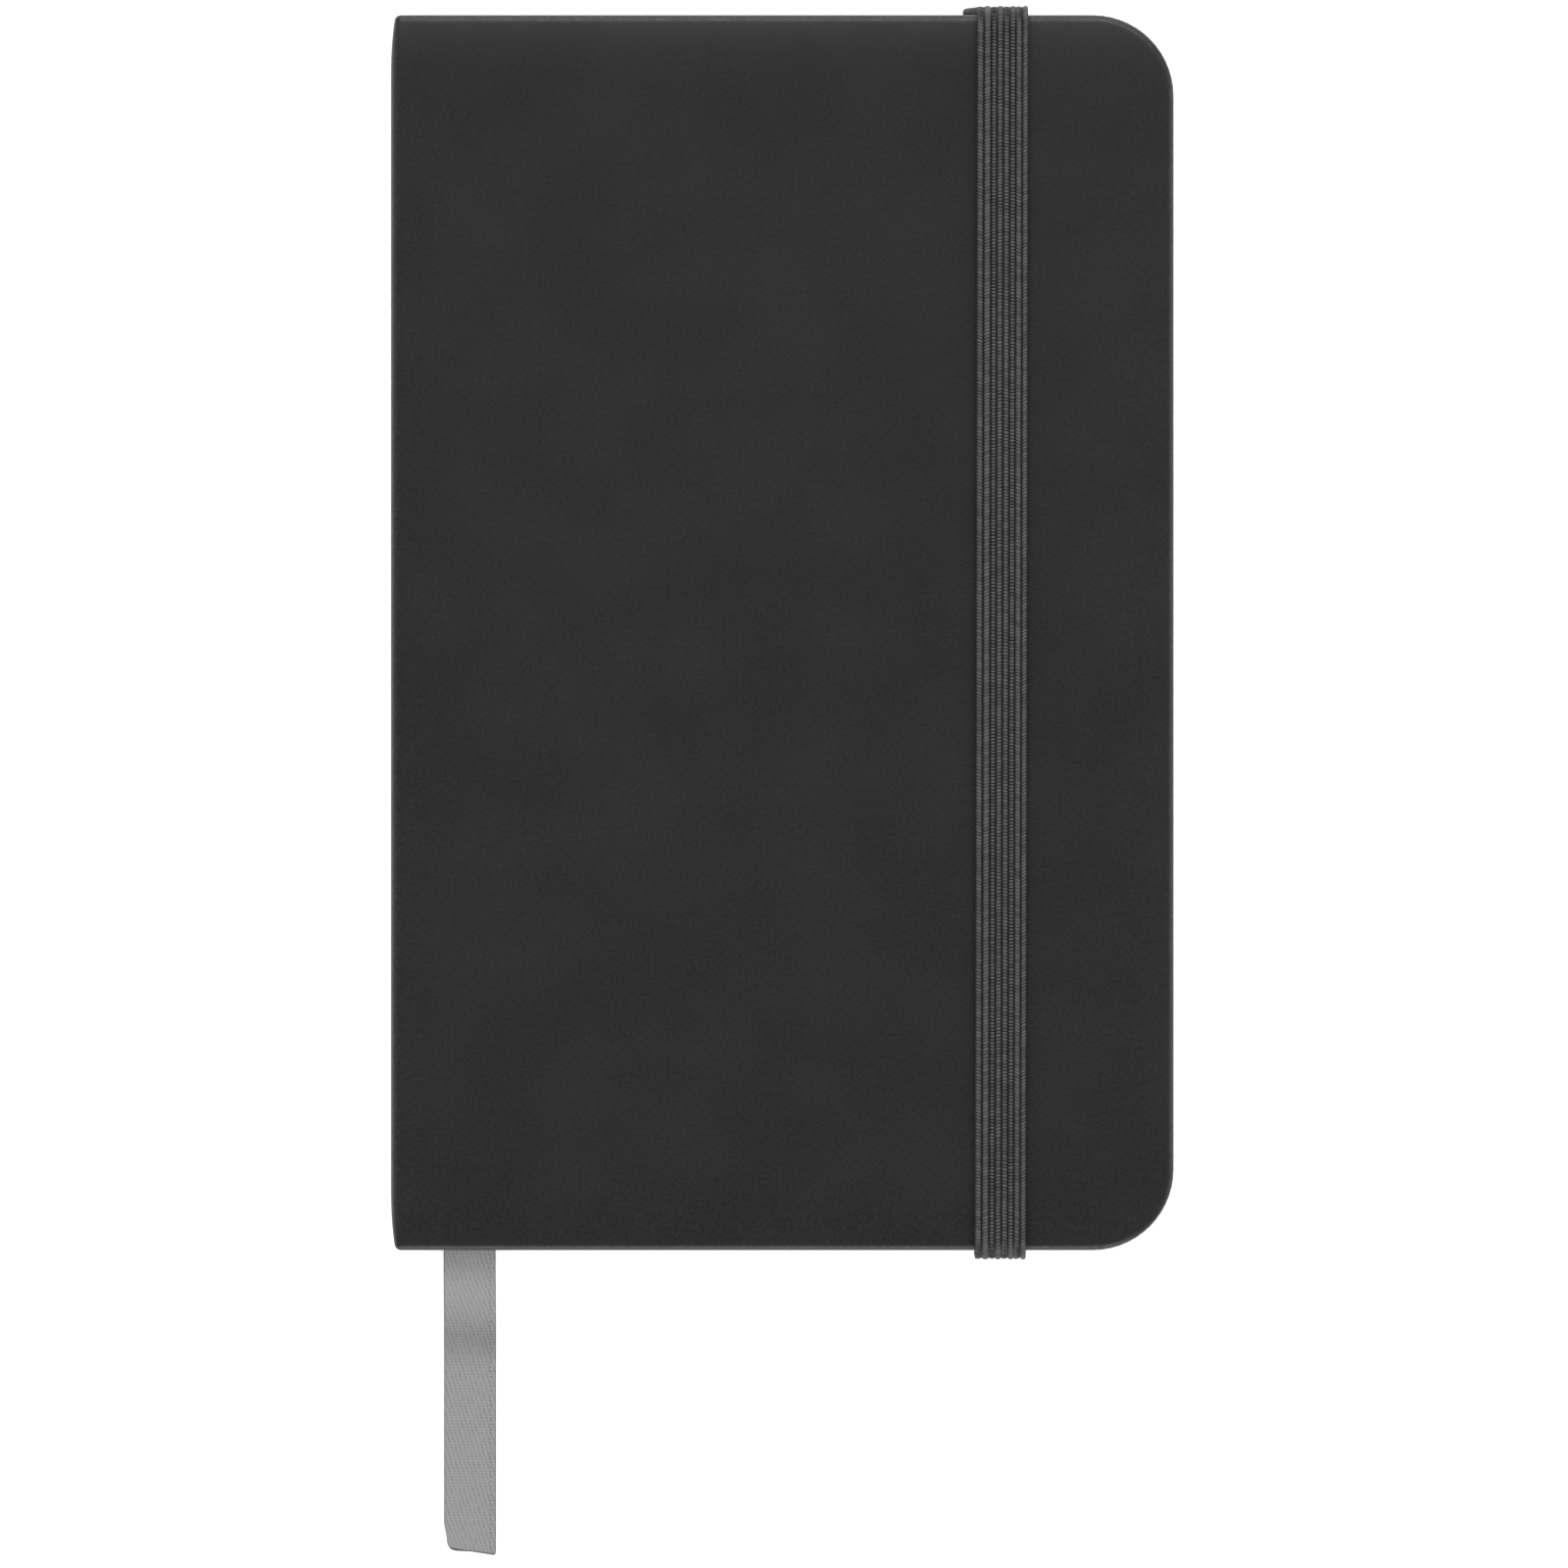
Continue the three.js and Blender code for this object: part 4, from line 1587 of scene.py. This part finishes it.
@dataclass(frozen=True)
class RibbonMarker:
    """The ribbon marker: limp twill tape from the head of the binding out over the tail.

    HALF_ACROSS is where its points lie from the middle to one selvedge, as shares of half the width.
    """

    width: float = 6 * MM
    thickness: float = 0.25 * MM
    step: float = 0.4 * MM
    corner: float = 1.2 * MM
    end_slope: float = 0.55 * MM
    end_bow: float = 0.22 * MM
    narrowing: float = 0.32 * MM
    curl: float = 0.35 * MM
    curl_floor: float = 0.35
    hem_swell: float = 0.12
    hem_share: float = 0.05
    near_end: float = 4 * MM
    ripple: float = 0.02 * MM
    ripple_run: float = 3.7 * MM

    ROUTE: ClassVar[tuple[Point, ...]] = (
        (-0.0404, 0.0679, 0.007),
        (-0.0402, 0.062, 0.007),
        (-0.0393, 0.054, 0.007),
        (-0.0376, 0.045, 0.007),
        (-0.0364, 0.038, 0.007),
        (-0.036, 0.032, 0.007),
        (-0.036, 0.02, 0.007),
        (-0.036, 0.0, 0.007),
        (-0.036, -0.02, 0.007),
        (-0.036, -0.04, 0.007),
        (-0.036, -0.06, 0.007),
        (-0.036, -0.068, 0.007),
        (-0.036, -0.0695, 0.00691),
        (-0.036, -0.071, 0.00662),
        (-0.036, -0.0725, 0.00612),
        (-0.036, -0.074, 0.00539),
        (-0.036, -0.0753, 0.00452),
        (-0.036, -0.0764, 0.00356),
        (-0.036, -0.0775, 0.00261),
        (-0.036, -0.0788, 0.00173),
        (-0.036, -0.0803, 0.00101),
        (-0.036, -0.0818, 0.00051),
        (-0.036, -0.0833, 0.00022),
        (-0.036, -0.0848, 0.000125),
        (-0.036, -0.092, 0.000125),
        (-0.036, -0.099, 0.000125),
        (-0.036, -0.1064, 0.000125),
    )
    HALF_ACROSS: ClassVar[tuple[float, ...]] = (0.2, 0.4, 0.6, 0.8, 0.92, 0.97, 1)

    def line(self) -> np.ndarray:
        """The middle line as one smooth curve through the route's points.

        Returns:
            Points about one step apart.
        """
        route = [np.array(point) for point in self.ROUTE]
        route = [2 * route[0] - route[1], *route, 2 * route[-1] - route[-2]]
        line = []
        for before, start, end, after in zip(route, route[1:], route[2:], route[3:]):
            count = max(round(float(np.linalg.norm(end - start)) / self.step), 2)
            knots = [0.0]
            for one, other in ((before, start), (start, end), (end, after)):
                knots.append(knots[-1] + math.sqrt(float(np.linalg.norm(other - one))))
            out = (start - before) / knots[1] - (end - before) / knots[2]
            out = out + (end - start) / (knots[2] - knots[1])
            back = (end - start) / (knots[2] - knots[1]) - (after - start) / (knots[3] - knots[1])
            back = back + (after - end) / (knots[3] - knots[2])
            gap = knots[2] - knots[1]
            for i in range(count):
                t = i / count
                first = (2 * t**3 - 3 * t**2 + 1) * start + (-2 * t**3 + 3 * t**2) * end
                line.append(first + gap * ((t**3 - 2 * t**2 + t) * out + (t**3 - t**2) * back))
        line.append(route[-2])
        smooth = np.array(line)
        smooth[:, 2] = np.maximum(smooth[:, 2], self.thickness / 2)
        return smooth

    def length(self) -> float:
        """The ribbon's length along its middle line."""
        line = self.line()
        return float(np.linalg.norm(np.diff(line, axis=0), axis=1).sum())

    def end_trim(self, share: float) -> float:
        """How much shorter the cut end is at a place across the ribbon.

        Args:
            share: the place across, from -1 at the spine side to 1.

        Returns:
            The length that is missing there.
        """
        bow = self.end_bow * math.sin(math.pi * (1 + share) / 2)
        slope = self.end_slope * (1 - share) / 2 + bow
        radius = self.corner if share < 0 else self.corner / 3
        into = abs(share) * self.width / 2 - (self.width / 2 - radius)
        if into <= 0:
            return slope
        return slope + radius - math.sqrt(max(radius**2 - into**2, 0))

    def cut(
        self, place: np.ndarray, tangent: np.ndarray, run: float, total: float
    ) -> tuple[np.ndarray, np.ndarray]:
        """One loop of points round the ribbon.

        Args:
            place: the middle line's point.
            tangent: the line's direction there.
            run: the distance along the line.
            total: the line's length.

        Returns:
            The loop's points and their places in the cloth.
        """
        shares = np.array([*(-share for share in reversed(self.HALF_ACROSS)), 0, *self.HALF_ACROSS])
        wide = np.array([-tangent[1], tangent[0], 0.0])
        wide /= np.linalg.norm(wide)
        up = np.cross(tangent, wide)
        closeness = max((run - total + self.near_end) / self.near_end, 0.0)
        last = smoothstep(closeness)
        pull = np.array([self.end_trim(share) for share in shares]) * closeness
        sides = shares * self.width / 2
        sides = np.where(sides < 0, sides + self.narrowing * last * (-shares), sides)
        hem = 1 + self.hem_swell * np.exp(-(((1 - np.abs(shares)) / self.hem_share) ** 2))
        ripple = self.ripple * math.sin(run / self.ripple_run) * shares
        curled = self.curl_floor + (1 - self.curl_floor) * (1 - shares) / 2
        lift = self.curl * last * curled + abs(ripple)
        centre = place + np.outer(sides, wide) - np.outer(pull, tangent) + np.outer(lift, up)
        half = self.thickness / 2
        top = centre + np.outer(half * hem, up)
        bottom = centre - np.outer(half * np.ones(len(shares)), up)
        to_end = np.full(len(shares), total - run)
        lay = np.stack([shares * self.width / 2, np.full(len(shares), run), to_end], axis=1)
        return np.concatenate([top, bottom[::-1]]), np.concatenate([lay, lay[::-1]])

    def build(self) -> None:
        line = self.line()
        tangents = np.gradient(line, axis=0)
        tangents /= np.linalg.norm(tangents, axis=1)[:, None]
        steps = np.linalg.norm(np.diff(line, axis=0), axis=1)
        runs = np.concatenate([[0.0], np.cumsum(steps)])
        strip = Strip()
        for place, tangent, run in zip(line, tangents, runs):
            strip.add(*self.cut(place, tangent, run, runs[-1]))
        made = strip.piece("ribbon_marker_tape", RIBBON)
        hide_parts("ribbon_marker")
        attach(made, "back_pages")
        self.length()


def main() -> None:
    """Builds the studio and the notebook, piece by piece."""
    logging.basicConfig(level=logging.INFO, format="%(name)s: %(message)s")
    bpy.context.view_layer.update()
    case = Case.measured()
    studio = Studio()
    studio.camera(case.thickness)
    ribbon = RibbonMarker()
    ribbon.build()
    LOG.info("ribbon marker, %.1f mm long", ribbon.length() / MM)
    covers = case.build()
    LOG.info("case, %d covers and the skin round the spine", len(covers))
    Leaves().build()
    LOG.info("six sections and the middle sheet")
    ElasticBand.measured().build(case, covers)
    LOG.info("elastic closure")
    studio.floor()
    studio.light(Vector((0, 0, case.thickness)))
    LOG.info("studio")


if __name__ == "__main__":
    main()
